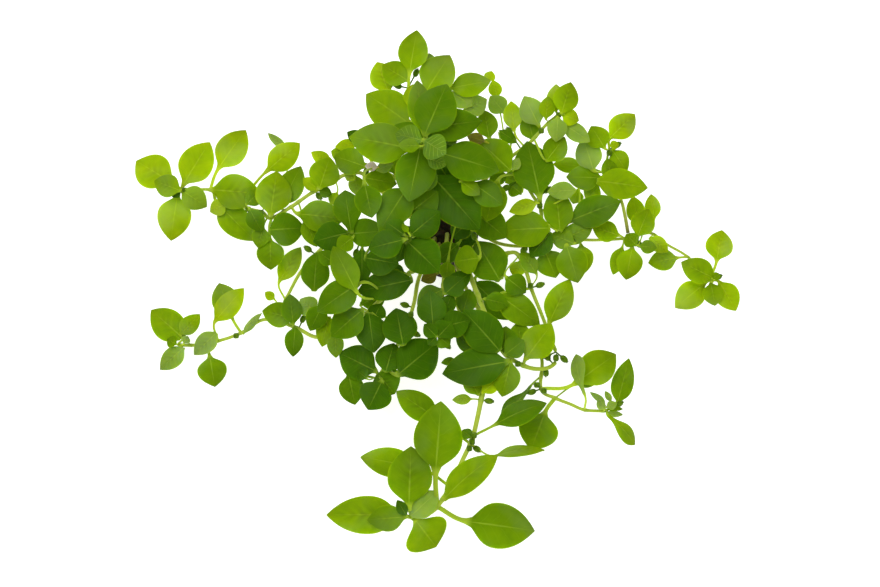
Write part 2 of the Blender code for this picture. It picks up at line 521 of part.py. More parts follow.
class Stem:
    """A stem's route with, at every point, how far along it is, where it heads and a side that doesn't twist."""

    def __init__(self, points, girth):
        self.points = points
        self.girth = girth
        self.runs = [0.0]
        self.heads = []
        self.sides = []
        side = Vector((0.31, 0.87, 0.38))
        for i, point in enumerate(points):
            head = (points[min(i + 1, len(points) - 1)] - points[max(i - 1, 0)]).normalized()
            if i == 0 and point.z < PLUG_HEIGHT + 0.001:
                head = Vector((0.0, 0.0, 1.0))
            side = (side - head * side.dot(head)).normalized()
            self.heads.append(head)
            self.sides.append(side)
            if i:
                self.runs.append(self.runs[-1] + (point - points[i - 1]).length)
        self.length = self.runs[-1]

    def run_at(self, point):
        """How far along the stem its point nearest to this one is."""
        return self.runs[min(range(len(self.points)), key=lambda i: (self.points[i] - point).length)]

    def ring(self, run):
        """The square section of the stem at a distance along it, which may be a little past its end."""
        i = max(0, min(len(self.points) - 2, sum(r <= run for r in self.runs) - 1))
        share = (run - self.runs[i]) / (self.runs[i + 1] - self.runs[i])
        centre = self.points[i].lerp(self.points[i + 1], share)
        nearest = i + 1 if share > 0.5 else i
        side, other = self.sides[nearest], self.heads[nearest].cross(self.sides[nearest])
        radius = STEM_RADIUS_OLD + (STEM_RADIUS_YOUNG - STEM_RADIUS_OLD) * min(1.0, run / self.length)
        return [centre + (side * x + other * y) * radius * self.girth for x, y in SQUARE]


def blade_half_width(t, widest):
    """Share of the greatest half width at share t of the length of a blade that is widest at this share."""
    t = t ** (math.log(WIDEST_AT) / math.log(widest))
    rise, fall = 0.62, 0.62 * (1 - WIDEST_AT) / WIDEST_AT
    peak = WIDEST_AT ** rise * (1 - WIDEST_AT) ** fall
    return t ** rise * (1 - t) ** fall / peak


class Leaf:
    """One leaf: where its stalk and blade start, where its tip is, how wide it is and which way it faces."""

    def __init__(self, shoot, row, route):
        self.shoot = shoot
        self.name, bx, by, tx, ty, self.drawn_width, rise, tilt, self.tone = row[:9]
        self.base_xy = (bx, by)
        self.tip_xy = (tx, ty)
        self.tilt = math.radians(tilt)
        near = Vector(row[9] if len(row) > 9 else (bx, by)) - Vector(DRAWING_CENTRE)
        self.widest = row[10] if len(row) > 10 else WIDEST_AT
        self.foot = min(route, key=lambda p: (seen(p) - near).length)
        self.base_height = self.foot.z + rise * MM
        level = (at(bx, by, self.base_height) - self.foot).to_2d().length
        if level < SHORTEST_STALK and abs(rise) * MM < SHORTEST_STALK:
            self.base_height = self.foot.z + math.copysign(SHORTEST_STALK, rise)
        self.bow = BOWS[0]
        self.place()

    def place(self):
        """Works out the blade from its drawing positions and the height of its base."""
        self.base = at(*self.base_xy, self.base_height)
        tip_height = self.base_height
        for _ in range(6):
            self.tip = at(*self.tip_xy, tip_height)
            run = (self.tip - self.base).to_2d().length
            tip_height = self.base_height + run * math.tan(self.tilt)
        self.length = (self.tip - self.base).length
        self.along = (self.tip - self.base) / self.length
        middle = (self.base + self.tip) / 2
        facing = ((EYE - middle).normalized() + Vector((0.0, 0.0, 0.5))).normalized()
        self.face = (facing - self.along * facing.dot(self.along)).normalized()
        self.side = self.face.cross(self.along)
        drawn_axis = (seen(self.tip) - seen(self.base)).normalized()
        drawn_side = (seen(middle + self.side * MM) - seen(middle)) / MM
        across = abs(drawn_axis.x * drawn_side.y - drawn_axis.y * drawn_side.x)
        self.width = self.drawn_width / across
        if self.width < LEAST_WIDTH_TO_LENGTH * self.length:
            true_width = TRUE_WIDTH_TO_LENGTH * self.length
            roll = math.acos(self.width / true_width)
            turn = 1.0 if sum(self.base_xy) % 2 else -1.0
            self.face = self.face * math.cos(roll) + self.side * math.sin(roll) * turn
            self.side = self.face.cross(self.along)
            self.width = true_width
        low = min(self.point(t, s).z for t in (0.0, 0.42, 0.7, 1.0) for s in (-1.0, 1.0))
        if low < LOWEST_BLADE:
            self.base_height += LOWEST_BLADE - low + 0.0001
            self.place()

    def point(self, t, s):
        """The point at share t of the blade's length and s, from -1 to 1, of its half width there."""
        wide = blade_half_width(t, self.widest)
        arch = ARCH * self.length * 4 * t * (1 - t)
        drop = MARGIN_DROP * self.width * s * s * wide
        return (self.base + self.along * (self.length * t) + self.face * (arch - drop)
                + self.side * (self.width / 2 * wide * s))

    def sheet(self):
        """A coarse sheet of the blade, for finding how near other blades come."""
        rows = (0.04, 0.2, 0.42, 0.65, 0.85, 0.98)
        verts = [self.point(t, s) for t in rows for s in (-1.0, -0.5, 0.0, 0.5, 1.0)]
        corners = [i * 5 + k for i in range(len(rows) - 1) for k in range(4)]
        return verts, [(a, a + 1, a + 6, a + 5) for a in corners]

    def stalk(self, count, bow):
        """The leaf stalk's route from the stem to the blade's base, in this many steps, bowed aside."""
        reach = (self.base - self.foot).length
        bow = bow * min(1.0, reach / LONG_STALK)
        first = self.foot + (self.base - self.foot) * 0.35 + bow
        last = self.base - self.along * min(reach * 0.3, 0.004) + bow * 0.3
        shares = [k / count for k in range(count + 1)]
        return [self.foot * (1 - t) ** 3 + first * 3 * t * (1 - t) ** 2 + last * 3 * t * t * (1 - t)
                + self.base * t ** 3 for t in shares]


def raise_needed(low_tree, low_points, high_tree, high_points):
    """How far the high blade has to come nearer along the line of sight to clear the low one."""
    need = 0.0
    for point in high_points:
        hit = low_tree.ray_cast(EYE, (point - EYE).normalized())
        if hit[0] is not None:
            need = max(need, (point - EYE).length + BLADE_GAP - hit[3])
    for point in low_points:
        hit = high_tree.ray_cast(EYE, (point - EYE).normalized())
        if hit[0] is not None:
            need = max(need, hit[3] + BLADE_GAP - (point - EYE).length)
    return need


def settle(leaves, routes):
    """Lifts blades, lowest first, until each one clears the blades below it and the stems it would cut."""
    placed = []
    for leaf in sorted(leaves, key=lambda leaf: leaf.base.z + leaf.tip.z):
        for _ in range(12):
            verts, faces = leaf.sheet()
            tree = BVHTree.FromPolygons(verts, faces)
            lift = 0.0
            for low, low_verts, low_tree in placed:
                apart = (low.base + low.tip - leaf.base - leaf.tip).to_2d().length / 2
                if apart < (low.length + leaf.length) * 0.75:
                    lift = max(lift, raise_needed(low_tree, low_verts, tree, verts))
            for shoot, route in routes.items():
                for point in route:
                    if shoot == leaf.shoot and (point - leaf.foot).length < SHORTEST_STALK:
                        continue
                    hit = tree.ray_cast(EYE, (point - EYE).normalized())
                    if hit[0] is not None and abs((point - EYE).length - hit[3]) < STEM_GAP:
                        lift = max(lift, STEM_GAP - (point - EYE).length + hit[3])
            if lift < 0.00002:
                break
            leaf.base_height += lift * 1.02
            leaf.place()
        placed.append((leaf, verts, tree))


def loft(verts, faces, low, rings):
    """Adds the sides from the ring of vertex numbers low up through rings of points. The last may be a tip."""
    for ring in rings:
        high = list(range(len(verts), len(verts) + len(ring)))
        verts += ring
        for i, corner in enumerate(low):
            k = (i + 1) % len(low)
            faces.append((corner, low[k], high[0]) if len(ring) == 1 else (corner, low[k], high[k], high[i]))
        low = high
    return low


def make_mesh(name, verts, faces):
    mesh = bpy.data.meshes.new(name)
    bm = bmesh.new()
    corners = [bm.verts.new(p) for p in verts]
    for face in faces:
        bm.faces.new([corners[i] for i in face])
    bmesh.ops.triangulate(bm, faces=bm.faces)
    bm.to_mesh(mesh)
    bm.free()
    return mesh


def ring_mesh(name, rings):
    """A closed mesh through rings that turn anticlockwise about the way they go."""
    first = list(range(len(rings[0])))
    verts, faces = list(rings[0]), [first[::-1]]
    last = loft(verts, faces, first, rings[1:])
    if len(last) > 1:
        faces.append(last)
    return make_mesh(name, verts, faces)


def stalk_rings(leaf, route):
    """Three-sided rings along a stalk, turned so that they run on into the blade without twist."""
    rings = []
    side = leaf.side
    for i in range(len(route) - 1, -1, -1):
        behind = (route[i] - route[max(i - 1, 0)]).normalized()
        beyond = (route[i + 1] - route[i]).normalized() if i < len(route) - 1 else leaf.along
        ahead = (behind + beyond).normalized()
        side = (side - ahead * side.dot(ahead)).normalized()
        low = route[i] - ahead.cross(side) * (STALK_RADIUS * 0.5)
        rings.append([low - side * STALK_RADIUS, low + side * STALK_RADIUS,
                      route[i] + ahead.cross(side) * STALK_RADIUS])
    return rings[::-1]


def blade_rings(leaf, rows):
    """The rings of a thin blade, ridged along its midrib and sharp at its margins, and its tip."""
    rings = []
    for t in rows:
        ridge = leaf.point(t, 0.0) + leaf.face * (BLADE_THICK / 2)
        rings.append([leaf.point(t, -1.0), leaf.point(t, 1.0), ridge])
    return rings + [[leaf.tip]]


def capsule_rings(foot, spot, turn):
    """The widest ring and the tip of a small oblong seed capsule that stands out from the stem."""
    reach = spot - foot
    if reach.length < CAPSULE_LENGTH * 0.8:
        reach = Vector((0.0, -0.4, 0.9)) * CAPSULE_LENGTH
    reach = reach + turn
    ahead = reach.normalized()
    side = ahead.orthogonal().normalized()
    other = ahead.cross(side)
    return [[foot + reach + (side * x + other * y) * CAPSULE_RADIUS for x, y in SQUARE],
            [foot + reach + ahead * (CAPSULE_LENGTH / 2)]]


def add_object(name, mesh, material):
    thing = bpy.data.objects.new(name, mesh)
    mesh.materials.clear()
    mesh.materials.append(material)
    bpy.context.scene.collection.objects.link(thing)
    return thing


def make_plug(material):
    """The plug tapers a little to its flat foot, and its side is slightly lumpy."""
    rings = []
    levels = ((0.0, PLUG_FOOT_RADIUS), (0.35, PLUG_FOOT_RADIUS + 0.0008), (0.75, PLUG_TOP_RADIUS),
              (1.0, PLUG_TOP_RADIUS - 0.0004))
    for n, (share, radius) in enumerate(levels):
        ring = []
        for k in range(PLUG_SIDES):
            angle = 2 * math.pi * k / PLUG_SIDES
            lump = PLUG_WAVE * math.sin(3 * angle + n) + PLUG_WAVE * 0.5 * math.sin(7 * angle + 2 * n)
            ring.append(Vector(((radius + lump) * math.cos(angle), (radius + lump) * math.sin(angle),
                                share * PLUG_HEIGHT)))
        rings.append(ring)
    return add_object("root_plug", ring_mesh("root_plug", rings), material)


class Growth:
    """What grows at a node, a leaf or a capsule: where it leaves the stem, and the shapes it may take."""

    def __init__(self, shoot, run, leaf=None, spot=None):
        self.shoot = shoot
        self.run = run
        self.leaf = leaf
        self.spot = spot
        self.facet = None

    def set_foot(self, foot):
        """Works out the shapes that it may take from a place on the stem's centre line."""
        if not self.leaf:
            self.shapes = [(turn, capsule_rings(foot, self.spot, turn)) for turn in CAPSULE_TURNS]
            return
        self.leaf.foot = foot
        straight = [(None, self.stalk_skin([foot, self.leaf.base]))]
        bowed = [(bow, self.stalk_skin(self.leaf.stalk(2, bow))) for bow in BOWS]
        reach = (self.leaf.base - foot).length
        self.shapes = bowed if reach > LONG_STALK else straight + (bowed if not self.leaf.name else [])

    def stalk_skin(self, route):
        """The rings of a stalk. A leaf with a name starts from a stub, which the first ring ends."""
        if self.leaf.name:
            reach = (route[1] - route[0]).length
            cut = route[0].lerp(route[1], min(STUB - GAP, reach * 0.6) / reach)
            route = [route[0], cut] + route[1:]
        return stalk_rings(self.leaf, route)[1:]

    def skin_rings(self):
        """The rings that the shoot's own skin runs through."""
        if not self.leaf:
            return self.rings
        return self.rings[:1] if self.leaf.name else self.rings + blade_rings(self.leaf, PLAIN_ROWS)

    def piece(self):
        """The name of the piece that it is part of."""
        return self.leaf.name or self.leaf.shoot if self.leaf else self.shoot

    def own_mesh(self):
        """The mesh of a leaf that is a piece of its own and meets a stub on its stem."""
        a, b, c = self.rings[0]
        ahead = (b - a).cross(c - a).normalized()
        start = [p + ahead * GAP for p in self.rings[0]]
        return ring_mesh(self.leaf.name, [start] + self.rings[1:] + blade_rings(self.leaf, FINE_ROWS))


def base_corners(facet, ring):
    """The corners of a facet, in order, that a ring is best drawn out of: all four, or three of them."""
    if len(ring) == 4:
        orders = [(k, (k + 1) % 4, (k + 2) % 4, (k + 3) % 4) for k in range(4)]
    else:
        orders = [(0, 1, 2), (1, 2, 0), (2, 0, 1), (0, 2, 3), (2, 3, 0), (3, 0, 2)]
    return min(orders, key=lambda order: sum((facet[k] - p).length_squared for k, p in zip(order, ring)))


class Shoot:
    """A stem with a short collar at each node, and what grows from the collars' facets."""

    def __init__(self, name, plan, route, leaves):
        self.name = name
        self.stem = Stem(route, plan.get("girth", 1.0))
        self.growths = [Growth(name, self.stem.run_at(leaf.foot), leaf=leaf) for leaf in leaves]
        spots = [at(x, y, height * MM) for x, y, height in plan["capsules"]]
        self.growths += [Growth(name, self.stem.run_at(spot), spot=spot) for spot in spots]
        self.place_rings()
        self.rows = [self.stem.ring(run) for run in self.ring_runs]
        for i, growths in self.nodes:
            foot = sum(self.rows[i] + self.rows[i + 1], Vector()) / 8
            for growth in growths:
                growth.set_foot(foot)

    def place_rings(self):
        """Short collars at the nodes, for three growths each, and rings between nodes that are far apart."""
        crowds = []
        for growth in sorted(self.growths, key=lambda growth: growth.run):
            if crowds and growth.run < crowds[-1][-1].run + COLLAR * 1.3:
                crowds[-1].append(growth)
            else:
                crowds.append([growth])
        self.ring_runs = [0.0, UPRIGHT_START * 0.6]
        self.nodes = []
        for crowd in crowds:
            crowd.sort(key=lambda growth: self.stem.run_at(growth.leaf.point(0.3, 0.0) if growth.leaf else growth.spot))
            count = math.ceil(len(crowd) / 3)
            middle = sum(growth.run for growth in crowd) / len(crowd)
            start = min(middle - COLLAR * count / 2, self.stem.length - COLLAR * count)
            self.add_rings(max(start, self.ring_runs[-1]))
            for k in range(count):
                self.nodes.append((len(self.ring_runs) - 1, crowd[k * len(crowd) // count:
                                                                 (k + 1) * len(crowd) // count]))
                self.ring_runs.append(self.ring_runs[-1] + COLLAR)
        if self.stem.length - self.ring_runs[-1] > COLLAR:
            self.add_rings(self.stem.length)

    def add_rings(self, end):
        start = self.ring_runs[-1]
        steps = max(1, math.ceil((end - start) / STEM_STEP - 0.3))
        if end - start > 0.0004:
            self.ring_runs += [start + (end - start) * k / steps for k in range(1, steps + 1)]

    def facets(self, i):
        """The four facets between two rings, as vertex numbers, and the end of the stem after the last."""
        low, high = [4 * i + k for k in range(4)], [4 * i + 4 + k for k in range(4)]
        around = [(low[k], low[(k + 1) % 4], high[(k + 1) % 4], high[k]) for k in range(4)]
        return around + [tuple(high)] if i == len(self.rows) - 2 else around

    def skin(self):
        verts = [p for row in self.rows for p in row]
        return verts, [facet for i in range(len(self.rows) - 1) for facet in self.facets(i)]

    def mesh(self):
        """The stem with its leaves, stubs and capsules, as one skin."""
        verts, facets = self.skin()
        faces = [(3, 2, 1, 0)]
        taken = {growth.facet: growth for growth in self.growths}
        for facet in facets:
            if facet not in taken:
                faces.append(facet)
                continue
            rings = taken[facet].skin_rings()
            order = base_corners([verts[k] for k in facet], rings[0])
            if len(order) == 3:
                faces.append((facet[0], facet[2], facet[3]) if set(order) == {0, 1, 2} else facet[:3])
            last = loft(verts, faces, [facet[k] for k in order], rings)
            if len(last) > 1:
                faces.append(last)
        return make_mesh("shoot_" + self.name, verts, faces)


class Obstacles:
    """The skins that a growth has to stay clear of: the stems, the blades and the growths placed so far."""

    def __init__(self, shoots, leaves):
        still = [(shoot.name, None, *shoot.skin()) for shoot in shoots]
        for leaf in leaves:
            verts, faces = leaf.sheet()
            still.append((leaf.name or leaf.shoot, leaf, verts, faces[:4]))
            still.append((leaf.name or leaf.shoot, None, verts, faces[4:]))
        self.placed = {}
        self.trees = [self.tree(still), self.tree([])]

    def tree(self, skins):
        """One search tree of all these skins, with the piece and the leaf that each face belongs to."""
        verts, faces, owners = [Vector((k, k * k, -9.0)) for k in range(3)], [(0, 1, 2)], [(None, None)]
        for piece, leaf, more, quads in skins:
            faces += [tuple(k + len(verts) for k in quad) for quad in quads]
            owners += [(piece, leaf)] * len(quads)
            verts += more
        return BVHTree.FromPolygons(verts, faces), owners

    def place(self, growth, skin):
        self.placed[growth] = (growth.piece(), None, *skin)
        self.trees[1] = self.tree(self.placed.values())

    def lift_out(self, growth):
        self.placed.pop(growth, None)
        self.trees[1] = self.tree(self.placed.values())

    def trouble(self, growth, verts, faces, first):
        """How badly a growth's skin crosses, or comes near, anything but the start of its own blade."""
        own = BVHTree.FromPolygons(verts, faces)
        trouble = 0
        for tree, owners in self.trees:
            for _, face in own.overlap(tree):
                piece, leaf = owners[face]
                if leaf is None or leaf is not growth.leaf:
                    trouble += CROSSING if piece == growth.piece() else CROSSING * 3
            for point in verts[first:]:
                for _, _, face, _ in tree.find_nearest_range(point, GAP):
                    piece, leaf = owners[face]
                    if leaf is None or leaf is not growth.leaf:
                        trouble += CLOSE if piece == growth.piece() else CLOSE * 3
        return trouble


def fit_growths(shoots, leaves):
    """Gives each growth the facet and the shape that run clearest of the stems, the blades and each other."""
    obstacles = Obstacles(shoots, leaves)
    for again in range(FITTINGS):
        for shoot in shoots:
            corners, _ = shoot.skin()
            for i, growths in shoot.nodes:
                waiting = [growth for growth in growths if not again or growth.score > GOOD_SCORE]
                for growth in waiting:
                    obstacles.lift_out(growth)
                taken = [growth.facet for growth in growths if growth not in waiting]
                free = [facet for facet in shoot.facets(i) if facet not in taken]
                while waiting:
                    score, growth, facet, shape, skin = min(
                        (tried for growth in waiting for facet in free
                         for tried in tries(growth, facet, [corners[k] for k in facet], obstacles)),
                        key=lambda tried: tried[0])
                    growth.score, growth.facet = score, facet
                    growth.turn, growth.rings = shape
                    waiting.remove(growth)
                    free.remove(facet)
                    obstacles.place(growth, skin)


def tries(growth, facet, points, obstacles):
    """Each shape of a growth out of a facet, with a score that is lower the clearer and the straighter it runs."""
    middle = sum(points, Vector()) / 4
    outward = (points[2] - points[0]).cross(points[3] - points[1]).normalized()
    for turn, rings in growth.shapes:
        heading = sum(rings[0], Vector()) / len(rings[0]) - middle
        lean = outward.dot(heading.normalized())
        low = [points[k].lerp(middle, 0.2) + heading * 0.15 for k in base_corners(points, rings[0])]
        verts, faces = list(low), []
        loft(verts, faces, list(range(len(low))), rings)
        score = obstacles.trouble(growth, verts, faces, len(low)) - lean * 4
        score += turn.length / MM * BOWED if turn else 0
        score += BENT_BACK if lean < 0.1 else 0
        if growth.leaf:
            before = centre(rings[-2]) if len(rings) > 1 else middle
            end = (centre(rings[-1]) - before).normalized()
            score += BENT_BACK if end.dot(growth.leaf.along) < 0.25 else 0
        yield score, growth, facet, (turn, rings), (verts, faces)


def centre(ring):
    return sum(ring, Vector()) / len(ring)


def main():
    clear_scene()
    plug_material = make_material("growing_medium", *COLOURS["plug"])
    stem_material = make_material("green_stem", *COLOURS["stem"])
    leaf_material = make_material("green_leaf", *COLOURS["leaf"])
    make_plug(plug_material)
    routes = {name: smooth_route(stem_points(plan), 0.002) for name, plan in SHOOTS.items()}
    leaves = [Leaf(name, row, routes[name]) for name, plan in SHOOTS.items() for row in plan["leaves"]]
    settle(leaves, routes)
    shoots = [Shoot(name, plan, routes[name], [leaf for leaf in leaves if leaf.shoot == name])
              for name, plan in SHOOTS.items()]
    fit_growths(shoots, leaves)
    for shoot in shoots:
        add_object("shoot_" + shoot.name, shoot.mesh(), stem_material)
        for growth in shoot.growths:
            if growth.leaf and growth.leaf.name:
                add_object(growth.leaf.name, growth.own_mesh(), leaf_material)


main()
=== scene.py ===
import math
import random

import bpy
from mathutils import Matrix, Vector
from mathutils.bvhtree import BVHTree
from mathutils.noise import noise


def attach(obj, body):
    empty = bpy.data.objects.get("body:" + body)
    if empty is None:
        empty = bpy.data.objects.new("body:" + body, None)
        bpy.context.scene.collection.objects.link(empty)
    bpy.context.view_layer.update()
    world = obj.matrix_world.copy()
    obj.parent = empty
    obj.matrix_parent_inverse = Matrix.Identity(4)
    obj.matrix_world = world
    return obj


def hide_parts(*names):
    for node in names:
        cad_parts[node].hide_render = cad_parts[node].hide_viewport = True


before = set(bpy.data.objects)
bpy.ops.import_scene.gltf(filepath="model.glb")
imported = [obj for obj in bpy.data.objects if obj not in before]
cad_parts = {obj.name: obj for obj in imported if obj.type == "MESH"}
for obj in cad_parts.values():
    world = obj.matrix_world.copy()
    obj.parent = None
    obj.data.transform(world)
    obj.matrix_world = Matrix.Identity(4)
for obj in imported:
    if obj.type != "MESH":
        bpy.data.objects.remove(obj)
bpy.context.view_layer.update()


# The root plug: dark, moist growing medium that kept the round taper of the pot it grew in. It is crumbly at
# its rim and top, and held together by fine roots that run down its side.
PLUG_TOP_RADIUS = 0.0150
PLUG_FOOT_RADIUS = 0.0132
PLUG_HEIGHT = 0.0280
PLUG_SIDES = 120
PLUG_FOOT_ROWS = 6
PLUG_SIDE_ROWS = 56
PLUG_TOP_ROWS = 26
# The rim and the foot are rounded over this share of the height, and draw in by this much.
ROUNDED_SHARE = 0.05
ROUNDED_BY = 0.0012
# The top swells a little, and its very middle stands this much over the rim.
TOP_SWELL = 0.0004
TOP_RISE = 0.0006
# Three shallow flutes wind up the side, by so many radians to the metre.
FLUTES = 3
FLUTE_HEIGHT = 0.0004
FLUTE_TWIST = 90
# Crumbs and lumps, each as (how many to the metre, how high).
COARSE_CRUMBS = (520, 0.00042)
FINE_CRUMBS = (1500, 0.00022)
SIDE_LUMPS = (160, 0.0005)
TOP_LUMPS = (260, 0.0008)
TOP_CRUMBLING = 1.6


def new_piece(name, verts, faces, materials, nodes):
    """A smooth-shaded mesh object that rides on the plant and stands for these solids."""
    mesh = bpy.data.meshes.new(name)
    mesh.from_pydata(verts, [], faces)
    mesh.shade_smooth()
    for material in materials:
        mesh.materials.append(material)
    piece = bpy.data.objects.new(name, mesh)
    bpy.context.scene.collection.objects.link(piece)
    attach(piece, "root")
    if nodes:
        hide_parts(*nodes)
    return piece


def set_inputs(node, values):
    """Gives a shader node's inputs their plain values, or the sockets that feed them."""
    for key, value in values.items():
        if isinstance(value, bpy.types.NodeSocket):
            node.id_data.links.new(value, node.inputs[key])
        else:
            node.inputs[key].default_value = value


def add_node(tree, kind, values=None, **settings):
    """A shader node with its settings and its inputs."""
    node = tree.nodes.new("ShaderNode" + kind)
    for key, value in settings.items():
        setattr(node, key, value)
    set_inputs(node, values or {})
    return node


def new_material(name, values):
    """A material, its node tree, and its shader with these plain values."""
    material = bpy.data.materials.new(name)
    material.use_nodes = True
    shader = material.node_tree.nodes["Principled BSDF"]
    set_inputs(shader, values)
    return material, material.node_tree, shader


def object_place(tree):
    """The place of each spot of the surface, in metres, in the piece's own frame."""
    return add_node(tree, "TexCoord").outputs["Object"]


def mottling(tree, place, scale, detail, roughness=0.5):
    """Soft uneven spots, with so many to the metre and so much fine detail in them."""
    values = {"Vector": place, "Scale": scale, "Detail": detail, "Roughness": roughness}
    return add_node(tree, "TexNoise", values).outputs["Fac"]


def colour_ramp(tree, factor, stops):
    """A colour that runs through (position, (red, green, blue)) stops."""
    ramp = add_node(tree, "ValToRGB", {"Fac": factor})
    while len(ramp.color_ramp.elements) < len(stops):
        ramp.color_ramp.elements.new(0.5)
    for element, (position, colour) in zip(ramp.color_ramp.elements, stops):
        element.position = position
        element.color = (*colour, 1.0)
    return ramp.outputs["Color"]


def laid_over(tree, under, over, factor, how="MIX"):
    """One colour laid over another, as strongly as the factor says."""
    values = {"Factor": factor, "A": under, "B": over}
    return add_node(tree, "Mix", values, data_type="RGBA", blend_type=how).outputs["Result"]


def embossed(tree, height, strength, distance):
    """Fine relief that is too small for the mesh."""
    values = {"Height": height, "Strength": strength, "Distance": distance}
    return add_node(tree, "Bump", values).outputs["Normal"]


def rows_to_faces(rows, sides, start=0):
    """The faces between rings of vertices that follow each other."""
    faces = []
    for i in range(rows - 1):
        for k in range(sides):
            a, b = start + i * sides + k, start + i * sides + (k + 1) % sides
            faces.append((a, b, b + sides, a + sides))
    return faces


def plug_radius(share):
    """The plug's radius at this share of its height."""
    return PLUG_FOOT_RADIUS + (PLUG_TOP_RADIUS - PLUG_FOOT_RADIUS) * share


def relief(spot, kind):
    """How far crumbs or lumps of one kind stand out at a spot."""
    per_metre, height = kind
    return noise(spot * per_metre) * height


def plug_verts():
    """Rings from the foot's middle out, up the lumpy side and in over the top, and how many they are."""
    rings = [(PLUG_FOOT_RADIUS * (i + 1) / (PLUG_FOOT_ROWS + 1), 0.0, 0.0) for i in range(PLUG_FOOT_ROWS)]
    for i in range(PLUG_SIDE_ROWS):
        share = i / (PLUG_SIDE_ROWS - 1)
        inside = min(1.0, min(share, 1 - share) / ROUNDED_SHARE)
        radius = plug_radius(share) - ROUNDED_BY * (1 - inside) ** 2
        rings.append((radius, share * PLUG_HEIGHT, 1.0 if i else 0.3))
    for i in range(PLUG_TOP_ROWS):
        share = (i + 1) / (PLUG_TOP_ROWS + 1)
        height = PLUG_HEIGHT + TOP_SWELL * math.sin(share * math.pi)
        rings.append((PLUG_TOP_RADIUS * (1 - share), height, 1.0))
    verts = []
    for radius, height, lumpy in rings:
        for k in range(PLUG_SIDES):
            angle = 2 * math.pi * k / PLUG_SIDES
            spot = Vector((radius * math.cos(angle), radius * math.sin(angle), height))
            crumbs = relief(spot, COARSE_CRUMBS) + relief(spot, FINE_CRUMBS)
            lumps = FLUTE_HEIGHT * math.sin(FLUTES * angle + height * FLUTE_TWIST) + relief(spot, SIDE_LUMPS)
            if height >= PLUG_HEIGHT:
                spot.z += crumbs * TOP_CRUMBLING + relief(spot, TOP_LUMPS)
            else:
                spot += Vector((math.cos(angle), math.sin(angle), 0.0)) * ((crumbs + lumps) * lumpy)
            verts.append(spot)
    return verts, len(rings)


soil, tree, shader = new_material("growing_medium_crumbs", {"Roughness": 0.92, "Specular IOR Level": 0.25})
place = object_place(tree)
clods = add_node(tree, "TexVoronoi", {"Vector": place, "Scale": 900.0, "Randomness": 1.0}).outputs
tint = colour_ramp(tree, mottling(tree, place, 260.0, 6.0, 0.65), [
    (0.30, (0.010, 0.006, 0.004)), (0.52, (0.030, 0.018, 0.010)), (0.72, (0.085, 0.052, 0.028))])
set_inputs(shader, {"Base Color": laid_over(tree, tint, clods["Color"], 0.35, "SOFT_LIGHT"),
                    "Normal": embossed(tree, clods["Distance"], 0.7, 0.0004)})

verts, rows = plug_verts()
faces = rows_to_faces(rows, PLUG_SIDES)
verts += [Vector((0.0, 0.0, 0.0)), Vector((0.0, 0.0, PLUG_HEIGHT + TOP_RISE))]
foot, crown = len(verts) - 2, len(verts) - 1
faces += [(foot, (k + 1) % PLUG_SIDES, k) for k in range(PLUG_SIDES)]
last = (rows - 1) * PLUG_SIDES
faces += [(last + k, last + (k + 1) % PLUG_SIDES, crown) for k in range(PLUG_SIDES)]
new_piece("growing_medium", verts, faces, [soil], ["root_plug"])


# The roots: thin, pale, living threads that have wound themselves round the plug's side on their way down to
# its foot. They lie half sunk in the growing medium, and both ends of each one dip into it.
ROOT_COUNT = 46
ROOT_RADIUS = 0.00028
ROOT_SIDES = 6
ROOT_PROUD = 0.0001
ROOT_END_DIP = 0.0007
ROOT_STEP_ROUND = 0.0011
ROOT_STEP_DOWN = 0.0008
ROOT_LOWEST = 0.0009
# A root turns off straight down by up to this many radians, and thins by this share towards its end.
ROOT_WANDER = 1.1
ROOT_TAPER = 0.6


def along_route(route):
    """Each point of a route with two directions across it, which turn as little as the route lets them."""
    side = Vector((0.31, 0.87, 0.38))
    for i, point in enumerate(route):
        ahead = (route[min(i + 1, len(route) - 1)] - route[max(i - 1, 0)]).normalized()
        side = (side - ahead * side.dot(ahead)).normalized()
        yield point, side, ahead.cross(side)


def ring(centre, side, other, radius, sides, corners=0.0):
    """Points round a centre. Four of its corners stand out by a share of the radius."""
    points = []
    for k in range(sides):
        angle = 2 * math.pi * k / sides
        out = (side * math.cos(angle) + other * math.sin(angle)) * radius
        points.append(centre + out * (1 + corners * math.cos(4 * angle)))
    return points


def add_tube(verts, faces, rings):
    """Adds a tube through these rings of points, closed at both ends."""
    start, sides = len(verts), len(rings[0])
    for points in rings:
        verts += points
    faces += rows_to_faces(len(rings), sides, start)
    faces.append(tuple(range(start, start + sides))[::-1])
    faces.append(tuple(range(len(verts) - sides, len(verts))))


root_skin, tree, shader = new_material("root_threads", {"Roughness": 0.7, "Specular IOR Level": 0.3})
set_inputs(shader, {"Base Color": colour_ramp(tree, mottling(tree, object_place(tree), 300.0, 3.0), [
    (0.35, (0.16, 0.10, 0.055)), (0.55, (0.42, 0.32, 0.20)), (0.75, (0.62, 0.54, 0.38))])})

chance = random.Random(4)
verts, faces = [], []
for _ in range(ROOT_COUNT):
    angle, height = chance.uniform(0, 2 * math.pi), chance.uniform(0.008, 0.027)
    drift, route = chance.uniform(-0.5, 0.5), []
    steps = chance.randrange(14, 40)
    for i in range(steps):
        radius = plug_radius(height / PLUG_HEIGHT) + ROOT_PROUD - ROOT_END_DIP * (i in (0, steps - 1))
        route.append(Vector((radius * math.cos(angle), radius * math.sin(angle), height)))
        drift = max(-ROOT_WANDER, min(ROOT_WANDER, drift + chance.uniform(-0.35, 0.35)))
        angle += drift * ROOT_STEP_ROUND / radius
        height = max(ROOT_LOWEST, height - ROOT_STEP_DOWN * math.cos(drift))
    thick = ROOT_RADIUS * chance.uniform(0.45, 1.0)
    add_tube(verts, faces, [ring(*spot, thick * (1 - ROOT_TAPER * i / steps), ROOT_SIDES)
                            for i, spot in enumerate(along_route(route))])
